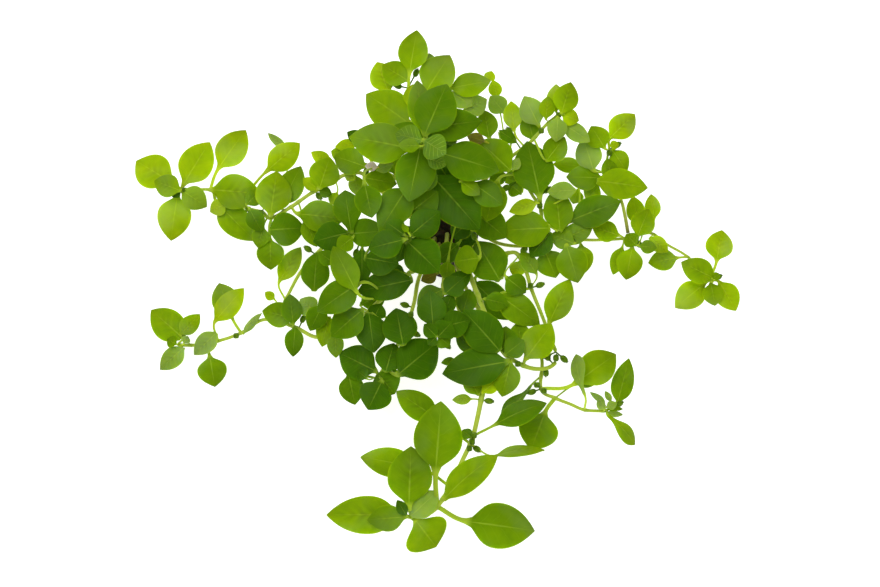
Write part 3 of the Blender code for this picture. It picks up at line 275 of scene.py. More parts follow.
new_piece("roots", verts, faces, [root_skin], [])


# The shoots: each is a slender, square-cornered stem that rises from the plug, arches over and runs out, with
# opposite leaves at its nodes. Every shoot's drawing positions (x, y), in picture pixels, are those of the
# plant seen from one high viewpoint, and each is given its own height.
MM = 0.001
STEM_RADIUS_OLD = 0.00105
STEM_RADIUS_YOUNG = 0.00072
STEM_SIDES = 12
STEM_RINGS_APART = 0.0010
# Four corners stand out by this share of the radius. The tip ends at this share of the radius.
STEM_CORNERS = 0.07
STEM_TIP = 0.35
STEM_SET_IN = 0.003
NODE_SWELL = 0.24
NODE_LENGTH = 0.0011
NODE_BLUSH = 0.6
UPRIGHT_START = 0.005
ROUTE_STEP = 0.002
# The high viewpoint of the drawing, which the camera takes too.
VIEW_TILT = math.radians(72.0)
VIEW_RANGE = 0.700
DRAWING_FOCAL = 1564.4
DRAWING_WIDTH = 880
DRAWING_CENTRE = (440.0, 293.5)
VIEW_TARGET = Vector((-0.0031, -0.0410, 0.060))
FORWARD = Vector((0.0, math.cos(VIEW_TILT), -math.sin(VIEW_TILT)))
ACROSS = Vector((1.0, 0.0, 0.0))
UPWARD = Vector((0.0, math.sin(VIEW_TILT), math.cos(VIEW_TILT)))
EYE = VIEW_TARGET - FORWARD * VIEW_RANGE

# Each shoot has its stem from the plug to the tip and its capsules as (x, y, height in mm), and its leaves.
# Where it isn't as stout as most, girth is its stoutness beside theirs.
# A leaf is (base x, base y, tip x, tip y, width, rise of the base over the stem in mm, tilt of the blade in
# degrees, tone, x and y of the stem where it grows), and last, where that isn't the usual one, the share of
# its length at which it is widest. Each large leaf is a piece of its own. The small ones are one piece with
# the others of their shoot.
# Tones: y young yellow-green, b bright, m middle, d dark, k deep shade green, g grey-green, c a crown's
# newest leaves, w withered, p faded to pinkish white. From y to k the greens are partly the leaves' own, the
# young ones yellower, and partly painted light and shade: brighter for leaves out in the light, darker for
# leaves deep in the plant. g is mostly a painted sheen, and on some leaves their paler underside.
SHOOTS = {
    "west": dict(
        stem=[(424, 224, 28.3), (404, 214, 44), (385, 194, 55), (372, 185, 58), (361, 173, 59),
              (342, 176, 56), (332, 183, 54), (313, 192, 50), (291, 207, 46), (271, 218, 42), (262, 212, 41),
              (247, 208, 39), (230, 199, 37), (210, 190, 35), (195, 190, 34), (181, 190, 34)],
        large={
            "west_1": (185, 182, 210, 142, 32, 3, 4, "y", 181, 190),
            "west_2": (172, 183, 136, 161, 34, 3, -8, "y", 181, 190, 0.5),
            "west_3": (177, 198, 171, 241, 32, 1, -14, "y", 181, 190),
            "west_4": (183, 191, 207, 207, 23, 5, -8, "b", 182, 190),
            "west_5": (220, 166, 246, 130, 29, 4, 4, "y", 210, 187),
            "west_6": (214, 190, 261, 194, 33, 6, -6, "b", 209, 190),
            "west_7": (219, 205, 255, 241, 28, 1, -16, "b", 212, 192),
            "west_8": (269, 169, 300, 143, 25, 3, 2, "y", 252, 184),
            "west_9": (271, 213, 277, 171, 34, 5, 0, "b", 270, 217),
            "west_10": (270, 230, 305, 228, 32, 4, -8, "d", 271, 219),
        },
        small=[
            (179, 190, 154, 181, 22, 7, 2, "b", 181, 190), (180, 192, 172, 197, 8, 6, 10, "k", 181, 190),
            (225, 204, 210, 212, 16, -2, -12, "y", 228, 199), (247, 204, 262, 190, 16, 0, 0, "m", 247, 208),
            (250, 210, 262, 232, 18, 1, -8, "d", 247, 208), (284, 150, 268, 133, 9, -3, 2, "g", 262, 212),
            (282, 204, 301, 166, 25, 0, 2, "m", 283, 211), (270, 241, 271, 270, 26, -2, -10, "m", 271, 219),
            (320, 187, 330, 157, 29, 6, 2, "b", 318, 190), (320, 191, 332, 194, 11, 2, -10, "d", 318, 190),
            (330, 163, 311, 152, 13, 0, 4, "y", 338, 177), (355, 176, 358, 196, 15, 0, -10, "b", 353, 174),
            (337, 193, 331, 205, 12, -5, -8, "y", 337, 180), (318, 189, 303, 178, 13, 2, 2, "y", 313, 192),
            (300, 214, 345, 219, 29, 4, -6, "m", 291, 208), (305, 220, 317, 247, 17, 0, -20, "m", 300, 203),
            (263, 228, 258, 248, 17, 0, -15, "m", 268, 217),
        ],
        capsules=[(261, 213, 41), (247, 209, 40), (319, 196, 48), (186, 186, 36)],
    ),
    "southwest": dict(
        stem=[(434, 243, 28.3), (420, 262, 42), (393, 288, 42), (360, 318, 36), (336, 332, 32),
              (316, 337, 30), (297, 328, 27), (280, 322, 25), (262, 320, 23), (241, 333, 20), (218, 341, 18),
              (196, 345, 16), (178, 345, 15)],
        large={
            "southwest_1": (183, 338, 151, 310, 30, 2, 0, "b", 178, 345),
            "southwest_2": (216, 320, 244, 288, 22, 5, 2, "y", 216, 341),
            "southwest_3": (231, 315, 219, 283, 26, 1, 2, "b", 241, 333),
            "southwest_4": (210, 358, 215, 387, 28, 0, -16, "m", 206, 343),
        },
        small=[
            (181, 334, 200, 314, 17, 3, 4, "b", 190, 345), (176, 344, 167, 339, 12, 4, 8, "m", 178, 345),
            (183, 348, 160, 370, 19, 1, -14, "g", 178, 345), (184, 343, 188, 336, 9, 5, 10, "g", 180, 345),
            (216, 333, 194, 355, 19, 4, -10, "g", 218, 341), (244, 333, 262, 313, 9, 2, 4, "g", 241, 333),
            (274, 299, 265, 292, 9, 4, 0, "y", 278, 321), (293, 318, 262, 311, 24, 5, -4, "m", 290, 325),
            (293, 323, 290, 294, 20, 8, 4, "d", 292, 326), (295, 328, 293, 357, 18, 0, -14, "d", 297, 328),
            (315, 312, 300, 299, 20, 3, 2, "g", 318, 337), (322, 306, 310, 331, 20, 7, -10, "d", 326, 335),
            (329, 317, 322, 347, 19, 2, -14, "b", 328, 335), (335, 334, 336, 358, 16, 1, -16, "m", 333, 333),
            (361, 311, 331, 337, 30, 12, -8, "d", 362, 317), (411, 280, 357, 292, 29, 5, -4, "k", 410, 271),
            (356, 285, 317, 312, 30, 16, -6, "d", 385, 295), (355, 289, 333, 246, 25, 18, 4, "m", 378, 302),
        ],
        capsules=[(303, 319, 29), (237, 336, 22)],
    ),
    "west_low": dict(
        stem=[(427, 235, 28.3), (400, 240, 46), (372, 240, 50), (348, 234, 48), (328, 244, 43),
              (314, 256, 38), (300, 273, 33), (288, 295, 29), (284, 303, 28)],
        small=[
            (280, 280, 301, 247, 19, 1, 2, "y", 285, 301), (314, 290, 317, 252, 27, 4, 2, "d", 312, 260),
            (334, 263, 318, 252, 15, 8, 0, "d", 330, 242), (347, 233, 313, 242, 29, 6, -8, "k", 348, 234),
            (349, 234, 386, 231, 27, 5, 2, "d", 352, 235),
            (351, 231, 345, 190, 27, 4, 6, "d", 354, 235, 0.56),
            (352, 238, 337, 250, 17, 8, -6, "m", 350, 234), (366, 258, 399, 264, 29, 6, -6, "k", 376, 240),
            (362, 250, 362, 285, 20, 2, -12, "k", 366, 239),
        ],
        capsules=[(308, 249, 40), (356, 253, 47)],
    ),
    "northwest": dict(
        stem=[(428, 212, 28.3), (414, 196, 50), (398, 180, 66), (382, 170, 73), (367, 164, 76)],
        small=[
            (364, 166, 334, 156, 26, 3, -8, "m", 369, 165), (356, 144, 335, 147, 12, 0, 0, "y", 372, 166),
            (362, 140, 347, 132, 13, 4, 4, "k", 374, 167), (352, 173, 347, 181, 11, -2, -10, "y", 368, 165),
            (345, 156, 331, 151, 14, -2, 0, "b", 367, 164), (366, 178, 397, 184, 22, 2, -4, "m", 376, 168),
            (365, 186, 372, 218, 26, 4, -16, "d", 372, 166), (395, 173, 390, 150, 20, 2, 2, "m", 394, 177),
            (377, 170, 393, 164, 11, 6, 2, "g", 380, 169), (377, 167, 365, 166, 9, 7, 2, "p", 381, 170),
        ],
        capsules=[(366, 172, 75), (352, 171, 70)],
    ),
    "top": dict(
        stem=[(438, 204, 28.3), (430, 180, 50), (420, 148, 66), (413, 120, 76), (409, 98, 82), (408, 88, 85)],
        large={
            "top_1": (410, 70, 417, 30, 28, 5, 10, "b", 408, 90),
            "top_2": (388, 91, 377, 62, 25, -3, 0, "y", 409, 98),
            "top_3": (407, 122, 366, 94, 38, 9, 4, "b", 413, 120),
            "top_4": (427, 90, 450, 55, 34, 5, 6, "b", 410, 101),
        },
        small=[
            (407, 80, 382, 65, 24, 3, 2, "b", 408, 90), (430, 66, 429, 53, 11, 0, 4, "g", 409, 96),
            (452, 88, 491, 81, 23, 0, 0, "b", 411, 110), (452, 93, 473, 106, 19, -2, -4, "g", 412, 113),
            (465, 111, 487, 99, 21, -3, 2, "g", 412, 117), (409, 106, 413, 84, 14, 5, 8, "y", 410, 103),
            (488, 81, 492, 71, 11, -6, 6, "y", 411, 106),
        ],
        capsules=[(416, 73, 84), (398, 86, 82)],
    ),
    "north": dict(
        stem=[(444, 215, 28.3), (442, 196, 52), (437, 172, 76), (430, 152, 93), (425, 139, 103)],
        small=[
            (426, 132, 447, 84, 40, 6, 6, "d", 425, 141), (423, 130, 417, 80, 24, 3, 8, "m", 425, 141),
            (428, 128, 482, 121, 31, 3, -4, "d", 426, 143), (421, 140, 395, 134, 24, 8, 6, "c", 425, 139),
            (419, 146, 398, 145, 13, 10, 4, "m", 425, 139), (425, 141, 446, 154, 26, 8, 0, "c", 425, 139),
            (428, 158, 446, 166, 15, 2, -12, "c", 427, 145), (408, 148, 349, 137, 38, 3, -6, "m", 427, 145),
            (420, 149, 409, 202, 38, 3, -14, "d", 428, 147), (444, 154, 499, 171, 37, 1, -8, "d", 429, 149),
            (434, 168, 412, 190, 26, -2, -18, "d", 436, 168),
            (438, 163, 459, 197, 30, -9, -16, "k", 438, 174),
            (434, 178, 480, 230, 43, -2, -12, "k", 438, 174), (427, 147, 392, 126, 28, -6, -2, "d", 430, 152),
            (425, 140, 458, 146, 26, -6, -4, "k", 430, 152),
        ],
        capsules=[(452, 142, 96), (428, 158, 92)],
    ),
    "northeast": dict(
        stem=[(461, 206, 28.3), (478, 186, 48), (503, 163, 60), (527, 145, 66), (538, 134, 69),
              (546, 125, 70), (558, 115, 70)],
        large={
            "northeast_1": (562, 112, 571, 82, 24, 3, 6, "b", 558, 115),
        },
        small=[
            (556, 110, 556, 84, 18, 0, 4, "y", 557, 116), (546, 118, 548, 96, 15, 1, 4, "b", 550, 121),
            (563, 115, 579, 121, 16, 3, 0, "y", 558, 115), (558, 118, 556, 142, 19, 4, -8, "g", 557, 116),
            (565, 125, 590, 142, 17, 2, -8, "g", 558, 115), (538, 124, 524, 96, 24, 3, 4, "g", 541, 131),
            (533, 139, 527, 114, 20, -1, 2, "m", 534, 137), (514, 129, 511, 101, 18, 1, 4, "y", 524, 147),
            (547, 160, 565, 137, 23, -2, 2, "m", 532, 140), (504, 112, 490, 96, 19, -4, 4, "g", 512, 156),
            (497, 97, 493, 80, 13, -6, 6, "y", 508, 159), (500, 131, 517, 143, 12, 2, -4, "d", 508, 159),
            (489, 137, 484, 110, 21, 4, 4, "m", 502, 164), (509, 169, 478, 141, 34, 8, 0, "m", 503, 164),
            (484, 141, 467, 136, 12, 10, 4, "w", 498, 168),
        ],
        capsules=[(562, 113, 72), (541, 131, 70), (509, 131, 62)],
    ),
    "northeast_low": dict(
        stem=[(468, 212, 28.3), (488, 224, 44), (514, 232, 51), (534, 230, 54), (541, 220, 56),
              (540, 207, 58), (533, 196, 60), (522, 178, 62), (517, 168, 63)],
        small=[
            (539, 193, 527, 141, 39, 7, 4, "d", 540, 207), (520, 173, 505, 183, 15, -2, -10, "y", 519, 171),
            (536, 203, 509, 212, 15, 1, -6, "y", 540, 207), (549, 228, 499, 231, 34, 3, -4, "m", 541, 222),
            (560, 230, 556, 188, 28, 3, 2, "m", 541, 218), (575, 190, 547, 192, 17, 8, -4, "g", 541, 212),
            (521, 193, 509, 184, 17, -2, -4, "m", 523, 180), (506, 175, 489, 180, 15, -3, -6, "m", 518, 170),
            (497, 183, 486, 222, 28, 6, -14, "m", 519, 172), (550, 233, 530, 257, 22, 2, -16, "k", 537, 228),
            (513, 170, 519, 158, 10, 3, 10, "g", 517, 168),
        ],
        capsules=[(543, 203, 58), (519, 166, 64), (547, 190, 58), (506, 188, 60)],
    ),
    "east": dict(
        girth=0.8,
        stem=[(471, 230, 28.3), (498, 243, 43), (530, 246, 49), (562, 240, 50), (598, 240, 47),
              (628, 238, 44), (650, 233, 41), (668, 245, 38), (688, 257, 34), (712, 280, 27)],
        large={
            "east_1": (717, 259, 722, 230, 26, 4, 4, "y", 710, 277),
            "east_2": (713, 278, 681, 262, 24, 4, -4, "b", 712, 279),
            "east_3": (703, 285, 675, 308, 26, 0, -10, "y", 710, 278),
            "east_4": (720, 283, 736, 311, 23, 2, -12, "y", 712, 280),
            "east_5": (638, 235, 649, 209, 23, 3, 4, "b", 636, 236),
            "east_6": (572, 220, 621, 201, 29, 7, 2, "d", 562, 240),
            "east_7": (632, 249, 626, 280, 25, 2, -14, "b", 629, 238),
        },
        small=[
            (711, 284, 715, 306, 20, 1, -12, "b", 712, 280), (710, 281, 702, 277, 8, 6, 10, "b", 712, 280),
            (713, 278, 720, 274, 8, 6, 14, "m", 712, 280), (676, 258, 648, 263, 20, 3, -6, "b", 687, 256),
            (640, 246, 657, 248, 13, 4, -4, "m", 630, 238), (650, 238, 668, 252, 15, 2, -8, "y", 652, 234),
            (638, 224, 633, 196, 18, -2, 4, "y", 632, 237), (654, 218, 651, 194, 15, -3, 4, "y", 648, 233),
            (618, 235, 592, 227, 20, 2, -2, "b", 626, 238), (636, 245, 626, 234, 16, 7, 6, "m", 642, 235),
            (622, 248, 613, 275, 15, 0, -12, "b", 626, 239), (562, 240, 593, 226, 20, 4, 0, "m", 552, 243),
            (573, 243, 551, 234, 20, 6, -4, "m", 580, 240), (581, 246, 584, 274, 21, 0, -14, "b", 580, 240),
            (567, 247, 578, 283, 30, 5, -14, "m", 566, 240), (545, 251, 556, 278, 27, 2, -14, "m", 546, 244),
            (578, 190, 573, 204, 15, -8, -8, "y", 578, 240),
        ],
        capsules=[(639, 244, 45), (571, 237, 49), (718, 277, 29)],
    ),
    "east_north": dict(
        girth=0.75,
        stem=[(628, 233, 46.5), (625, 216, 50), (621, 200, 53), (613, 187, 54), (606, 177, 55),
              (607, 160, 56), (609, 150, 56)],
        large={
            "northeast_2": (611, 137, 635, 114, 24, 3, 6, "y", 609, 150),
            "east_8": (598, 181, 648, 188, 29, 6, -4, "b", 607, 177),
        },
        small=[
            (604, 147, 591, 126, 22, 2, 2, "b", 609, 150), (613, 151, 627, 172, 19, 3, -10, "b", 609, 150),
            (610, 146, 619, 144, 9, 6, 8, "y", 609, 150), (612, 180, 607, 158, 16, 0, 4, "m", 609, 182),
            (600, 178, 566, 177, 24, 3, -6, "m", 606, 177), (593, 169, 583, 138, 25, 2, 4, "g", 606, 175),
            (580, 166, 553, 164, 15, -3, -2, "y", 606, 174), (598, 185, 585, 198, 18, -3, -10, "y", 610, 183),
        ],
        capsules=[(606, 152, 57), (605, 177, 57), (617, 145, 58)],
    ),
    "east_low": dict(
        stem=[(467, 240, 28.3), (482, 254, 41), (502, 254, 48), (516, 253, 51), (524, 266, 50),
              (528, 277, 49), (531, 288, 48), (541, 313, 46), (548, 331, 45), (556, 352, 43)],
        large={
            "southeast_4": (550, 321, 570, 279, 26, 6, 4, "b", 555, 349),
        },
        small=[
            (507, 278, 526, 293, 22, 3, -10, "d", 517, 255), (536, 273, 521, 251, 15, 4, 0, "m", 531, 288),
            (500, 296, 540, 325, 28, 5, -4, "m", 531, 288), (499, 279, 476, 241, 36, 5, 4, "d", 508, 254),
            (475, 283, 512, 320, 30, -8, -6, "d", 500, 254), (520, 262, 514, 277, 16, -2, -8, "y", 524, 267),
        ],
        capsules=[(564, 359, 43), (547, 356, 43), (540, 285, 49), (528, 287, 49), (524, 250, 53)],
    ),
    "southeast_low": dict(
        girth=1.3,
        stem=[(459, 246, 28.3), (470, 275, 46), (487, 318, 54), (500, 346, 55), (510, 358, 53),
              (527, 367, 50), (540, 369, 49), (550, 367, 48), (556, 362, 47)],
        small=[
            (527, 357, 552, 324, 31, 6, 4, "b", 524, 366), (499, 350, 463, 310, 36, 5, 0, "k", 502, 348),
            (505, 352, 506, 326, 25, 3, 2, "d", 504, 352), (506, 354, 524, 340, 21, 6, -2, "d", 508, 356),
            (505, 362, 442, 374, 36, 5, -8, "k", 508, 357), (455, 360, 441, 363, 8, -2, -4, "d", 500, 346),
            (510, 363, 502, 397, 26, 1, -14, "m", 511, 358), (486, 299, 509, 305, 18, 2, -6, "d", 481, 302),
            (521, 344, 518, 322, 20, -2, -4, "m", 506, 353), (476, 351, 456, 334, 17, -2, -4, "d", 500, 346),
            (463, 312, 470, 289, 20, 2, 0, "d", 478, 295),
        ],
        capsules=[(556, 358, 51), (546, 373, 45), (547, 357, 48), (519, 360, 52)],
    ),
    "southeast": dict(
        stem=[(452, 249, 28.3), (462, 280, 38), (488, 322, 43), (520, 346, 42), (541, 357, 41),
              (541, 389, 39), (555, 398, 38), (570, 404, 36), (585, 410, 34), (606, 411, 32)],
        large={
            "southeast_1": (577, 382, 616, 354, 33, 4, 2, "b", 542, 389, 0.5),
            "southeast_2": (584, 393, 576, 354, 13, 13, 4, "g", 584, 409, 0.64),
            "southeast_3": (618, 401, 629, 358, 21, 3, 4, "m", 606, 410, 0.38),
            "south_9": (544, 415, 531, 450, 38, 0, -16, "m", 555, 399),
        },
        small=[
            (577, 384, 602, 374, 15, 0, -4, "m", 555, 398),
            (609, 416, 635, 445, 16, 0, -12, "b", 606, 411, 0.64),
            (605, 405, 590, 392, 7, 3, 4, "g", 604, 411), (611, 401, 605, 391, 6, 4, 8, "g", 606, 410),
            (607, 407, 617, 403, 9, 5, 10, "g", 606, 410), (608, 409, 623, 409, 6, 3, 0, "m", 606, 411),
            (608, 412, 623, 415, 6, 1, -6, "g", 606, 411), (604, 409, 597, 401, 8, 4, 4, "g", 602, 411),
            (530, 387, 501, 414, 12, -3, -2, "d", 541, 374, 0.66),
        ],
        capsules=[(537, 385, 43), (532, 392, 40), (544, 391, 43), (619, 404, 34)],
    ),
    "south": dict(
        girth=1.35,
        stem=[(445, 251, 28.3), (449, 280, 38), (466, 325, 46), (481, 362, 49), (483, 385, 49),
              (481, 400, 48), (477, 420, 46), (472, 440, 43), (465, 455, 41), (456, 474, 38), (448, 490, 36),
              (440, 503, 34), (430, 513, 32), (413, 518, 30)],
        large={
            "south_1": (436, 467, 441, 401, 46, 9, 4, "m", 438, 505),
            "south_2": (409, 502, 411, 446, 42, 6, 4, "m", 412, 518),
            "south_3": (415, 467, 360, 457, 28, -4, 0, "b", 449, 487),
            "south_4": (398, 515, 326, 515, 36, 2, -8, "b", 413, 518),
            "south_5": (417, 522, 436, 547, 45, 1, -30, "b", 414, 518, 0.47),
            "south_6": (446, 497, 498, 455, 28, 4, 0, "b", 443, 499),
            "south_7": (471, 522, 535, 531, 43, 1, -12, "m", 436, 508),
            "south_8": (498, 423, 547, 403, 23, 4, 4, "d", 473, 438),
        },
        small=[
            (436, 418, 396, 391, 26, -6, 2, "m", 471, 442), (404, 517, 367, 520, 25, 6, -6, "m", 413, 518),
            (406, 515, 397, 500, 11, 8, 8, "k", 413, 518), (411, 516, 438, 491, 24, 5, 4, "g", 413, 518),
            (498, 455, 545, 450, 13, 0, -2, "b", 471, 442), (471, 399, 452, 400, 10, 3, -2, "b", 481, 398),
            (478, 394, 466, 372, 18, 3, 4, "m", 481, 397), (483, 392, 500, 378, 15, 4, 2, "y", 482, 394),
            (471, 437, 462, 430, 11, 4, 8, "d", 472, 439),
        ],
        capsules=[(471, 440, 45), (477, 449, 42), (466, 445, 43), (489, 401, 48), (471, 434, 45)],
    ),
    "south_low": dict(
        stem=[(438, 249, 28.3), (420, 275, 40), (414, 303, 42), (407, 325, 38), (396, 348, 33),
              (384, 368, 28), (377, 378, 26)],
        small=[
            (374, 370, 339, 353, 33, 4, -4, "k", 379, 374), (349, 376, 355, 405, 24, 4, -12, "d", 377, 377),
            (381, 383, 368, 410, 32, 6, -14, "k", 378, 377), (378, 374, 395, 394, 32, 2, -12, "d", 379, 375),
            (386, 371, 394, 343, 27, 5, 4, "k", 383, 370), (400, 373, 438, 342, 40, 6, 0, "k", 384, 369),
            (403, 344, 396, 308, 33, 5, 2, "k", 398, 344), (374, 318, 381, 304, 18, 1, 4, "k", 404, 331),
            (369, 314, 374, 353, 30, 6, -10, "k", 400, 339), (366, 378, 358, 371, 14, 6, 0, "k", 378, 376),
            (362, 304, 386, 293, 22, -8, -2, "m", 406, 326), (404, 273, 387, 268, 13, 1, 0, "k", 422, 270),
        ],
        capsules=[(405, 305, 42), (417, 315, 41), (416, 334, 37)],
    ),
    "south_mid": dict(
        stem=[(447, 239, 28.3), (445, 262, 46), (442, 296, 58), (439, 322, 62), (437, 334, 63)],
        small=[
            (433, 325, 430, 290, 28, 1, 2, "k", 439, 326), (440, 329, 446, 303, 22, -3, 4, "k", 439, 322),
            (439, 336, 452, 322, 22, 4, 0, "k", 437, 334), (436, 336, 424, 324, 15, 5, 2, "k", 437, 334),
            (439, 337, 450, 346, 16, 3, -8, "d", 437, 334), (436, 337, 428, 345, 11, 4, -6, "k", 437, 334),
            (443, 327, 470, 320, 26, 0, -2, "k", 439, 324), (446, 293, 463, 278, 22, 3, 2, "k", 442, 294),
            (448, 288, 471, 273, 18, -3, 0, "k", 443, 284), (444, 313, 452, 294, 16, -3, 0, "k", 440, 312),
            (436, 274, 421, 281, 13, 2, -4, "w", 444, 274), (441, 290, 417, 305, 22, 2, -10, "d", 442, 296),
        ],
        capsules=[(447, 345, 62), (435, 325, 63)],
    ),
    "centre": dict(
        stem=[(437, 226, 28.3), (434, 226, 50), (422, 232, 70), (408, 238, 81)],
        small=[
            (402, 240, 368, 249, 27, 4, -6, "k", 408, 238), (412, 234, 440, 211, 28, 4, 4, "k", 409, 238),
            (409, 243, 439, 272, 36, 2, -10, "k", 410, 238),
            (406, 190, 379, 232, 33, 6, -10, "d", 422, 231, 0.36),
            (403, 234, 386, 222, 20, -1, 4, "k", 410, 237), (404, 244, 398, 262, 13, 1, -8, "k", 409, 238),
            (411, 212, 438, 191, 30, 2, 2, "d", 424, 230), (408, 232, 402, 224, 6, 4, 8, "m", 409, 238),
            (404, 214, 384, 204, 22, -4, -4, "k", 424, 230), (418, 231, 392, 248, 24, -8, -4, "k", 414, 235),
        ],
        capsules=[(404, 229, 83), (413, 241, 80)],
    ),
    "centre_right": dict(
        stem=[(456, 224, 28.3), (458, 216, 48), (463, 204, 62), (470, 194, 70)],
        small=[
            (462, 182, 480, 195, 15, 4, -4, "m", 469, 195), (477, 214, 506, 238, 30, 0, -10, "d", 464, 203),
            (478, 258, 454, 262, 27, 2, -8, "m", 462, 207), (468, 222, 452, 238, 20, -4, -14, "k", 462, 207),
            (474, 232, 455, 245, 20, -10, -10, "k", 460, 212), (432, 189, 450, 175, 22, 0, 4, "k", 462, 206),
            (474, 184, 503, 205, 25, 3, -8, "d", 470, 194), (448, 262, 446, 280, 15, -6, -16, "m", 461, 209),
            (457, 245, 438, 262, 20, -8, -10, "d", 461, 209),
        ],
        capsules=[(482, 184, 70), (474, 236, 60)],
    ),
}


def at(x, y, height):
    """The point of this height that drawing position (x, y) shows."""
    ray = FORWARD * DRAWING_FOCAL + ACROSS * (x - DRAWING_CENTRE[0]) - UPWARD * (y - DRAWING_CENTRE[1])
    return EYE + ray * ((height - EYE.z) / ray.z)


def seen(point):
    """The drawing position of a point, measured from the drawing's centre."""
    ray = point - EYE
    depth = ray.dot(FORWARD)
    return Vector((ray.dot(ACROSS) * DRAWING_FOCAL / depth, -ray.dot(UPWARD) * DRAWING_FOCAL / depth))


def on_plug(point):
    """Whether a stem that starts here stands on the plug."""
    return abs(point.z - PLUG_HEIGHT) < MM


def stem_route(plan, step):
    """Points about one step apart on a smooth curve through the drawn stem, which leaves the plug upright."""
    points = [at(x, y, height * MM) for x, y, height in plan["stem"]]
    if on_plug(points[0]):
        points.insert(1, points[0] + Vector((0.0, 0.0, UPRIGHT_START)))
    route = [points[0]]
    for i in range(len(points) - 1):
        before = points[max(i - 1, 0)]
        start, end = points[i], points[i + 1]
        after = points[min(i + 2, len(points) - 1)]
        count = max(1, round((end - start).length / step))
        for k in range(1, count + 1):
            t = k / count
            route.append(0.5 * (2 * start + (end - before) * t
                                + (2 * before - 5 * start + 4 * end - after) * t ** 2
                                + (3 * start - before - 3 * end + after) * t ** 3))
    return route


# The leaves: each has a slim stalk that widens into a thin, oval, pointed blade, a little arched and bent
# down at its margins. Blades lie over one another with air between them.
SHORTEST_STALK = 0.0030
WIDEST_AT = 0.42
ROUNDNESS = 0.62
TRUE_WIDTH_TO_LENGTH = 0.51
LEAST_WIDTH_TO_LENGTH = 0.44
ARCH = 0.06
MARGIN_DROP = 0.045
# Blades face the eye, turned by this much towards the light above them.
TURNED_UP = Vector((0.0, 0.0, 0.5))
# No blade comes lower than this over the surface.
LOWEST_BLADE = 0.0022
TIP_ROUNDS = 6
# Blades and stems stay this far apart along the line of sight. A lift that would be less than the least isn't
# made. Two blades are compared where their middles are nearer than this share of both their lengths together.
BLADE_GAP = 0.0014
STEM_GAP = 0.0024
LEAST_LIFT = 0.00002
NEIGHBOURS = 0.75
SETTLING_ROUNDS = 12
LIFT_SPARE = 1.02


def blade_half_width(t, widest):
    """Share of the greatest half width at share t of the length of a blade that is widest at this share."""
    t = t ** (math.log(WIDEST_AT) / math.log(widest))
    fall = ROUNDNESS * (1 - WIDEST_AT) / WIDEST_AT
    peak = WIDEST_AT ** ROUNDNESS * (1 - WIDEST_AT) ** fall
    return t ** ROUNDNESS * (1 - t) ** fall / peak


class Leaf:
    """One leaf: where its stalk and blade start, where its tip is, how wide it is and which way it faces."""

    def __init__(self, shoot, route, name, row):
        self.shoot, self.name = shoot, name
        bx, by, tx, ty, self.drawn_width, rise, tilt, self.tone, near_x, near_y, *widest = row
        self.base_xy, self.tip_xy = (bx, by), (tx, ty)
        self.tilt = math.radians(tilt)
        self.widest = widest[0] if widest else WIDEST_AT
        near = Vector((near_x, near_y)) - Vector(DRAWING_CENTRE)
        self.foot = min(route, key=lambda p: (seen(p) - near).length)
        self.base_height = self.foot.z + rise * MM
        level = (at(bx, by, self.base_height) - self.foot).to_2d().length
        if level < SHORTEST_STALK and abs(rise) * MM < SHORTEST_STALK:
            self.base_height = self.foot.z + math.copysign(SHORTEST_STALK, rise)
        self.place()

    def place(self):
        """Works out the blade from its drawing positions and the height of its base."""
        self.base = at(*self.base_xy, self.base_height)
        tip_height = self.base_height
        for _ in range(TIP_ROUNDS):
            self.tip = at(*self.tip_xy, tip_height)
            run = (self.tip - self.base).to_2d().length
            tip_height = self.base_height + run * math.tan(self.tilt)
        self.length = (self.tip - self.base).length
        self.along = (self.tip - self.base) / self.length
        middle = (self.base + self.tip) / 2
        facing = ((EYE - middle).normalized() + TURNED_UP).normalized()
        self.face = (facing - self.along * facing.dot(self.along)).normalized()
        self.side = self.face.cross(self.along)
        drawn_axis = (seen(self.tip) - seen(self.base)).normalized()
        drawn_side = (seen(middle + self.side * MM) - seen(middle)) / MM
        across = abs(drawn_axis.x * drawn_side.y - drawn_axis.y * drawn_side.x)
        self.width = self.drawn_width / across
        if self.width < LEAST_WIDTH_TO_LENGTH * self.length:
            true_width = TRUE_WIDTH_TO_LENGTH * self.length
            roll = math.acos(self.width / true_width)
            turn = 1.0 if sum(self.base_xy) % 2 else -1.0
            self.face = self.face * math.cos(roll) + self.side * math.sin(roll) * turn
            self.side = self.face.cross(self.along)
            self.width = true_width
        low = min(self.point(t, s).z for t in (0.0, 0.42, 0.7, 1.0) for s in (-1.0, 1.0))
        if low < LOWEST_BLADE:
            self.base_height += LOWEST_BLADE - low + 0.0001
            self.place()

    def point(self, t, s):
        """The point at share t of the blade's length and s, from -1 to 1, of its half width there."""
        wide = blade_half_width(t, self.widest)
        arch = ARCH * self.length * 4 * t * (1 - t)
        drop = MARGIN_DROP * self.width * s * s * wide
        return (self.base + self.along * (self.length * t) + self.face * (arch - drop)
                + self.side * (self.width / 2 * wide * s))

    def sheet(self):
        """A coarse sheet of the blade, for finding how near other blades come."""
        rows = (0.04, 0.2, 0.42, 0.65, 0.85, 0.98)
        verts = [self.point(t, s) for t in rows for s in (-1.0, -0.5, 0.0, 0.5, 1.0)]
        corners = [i * 5 + k for i in range(len(rows) - 1) for k in range(4)]
        return verts, [(a, a + 1, a + 6, a + 5) for a in corners]


def depth_behind(tree, point):
    """How much farther than a point a sheet is, along the line of sight. Where it isn't in line, None."""
    distance = (point - EYE).length
    hit = tree.ray_cast(EYE, (point - EYE).normalized())[3]
    return None if hit is None else hit - distance


def raise_needed(low_tree, low_points, high_tree, high_points):
    """How far the high blade has to come nearer along the line of sight to clear the low one."""
    below = [depth_behind(low_tree, point) for point in high_points]
    above = [depth_behind(high_tree, point) for point in low_points]
    return max([0.0] + [BLADE_GAP - depth for depth in below if depth is not None]
               + [BLADE_GAP + depth for depth in above if depth is not None])


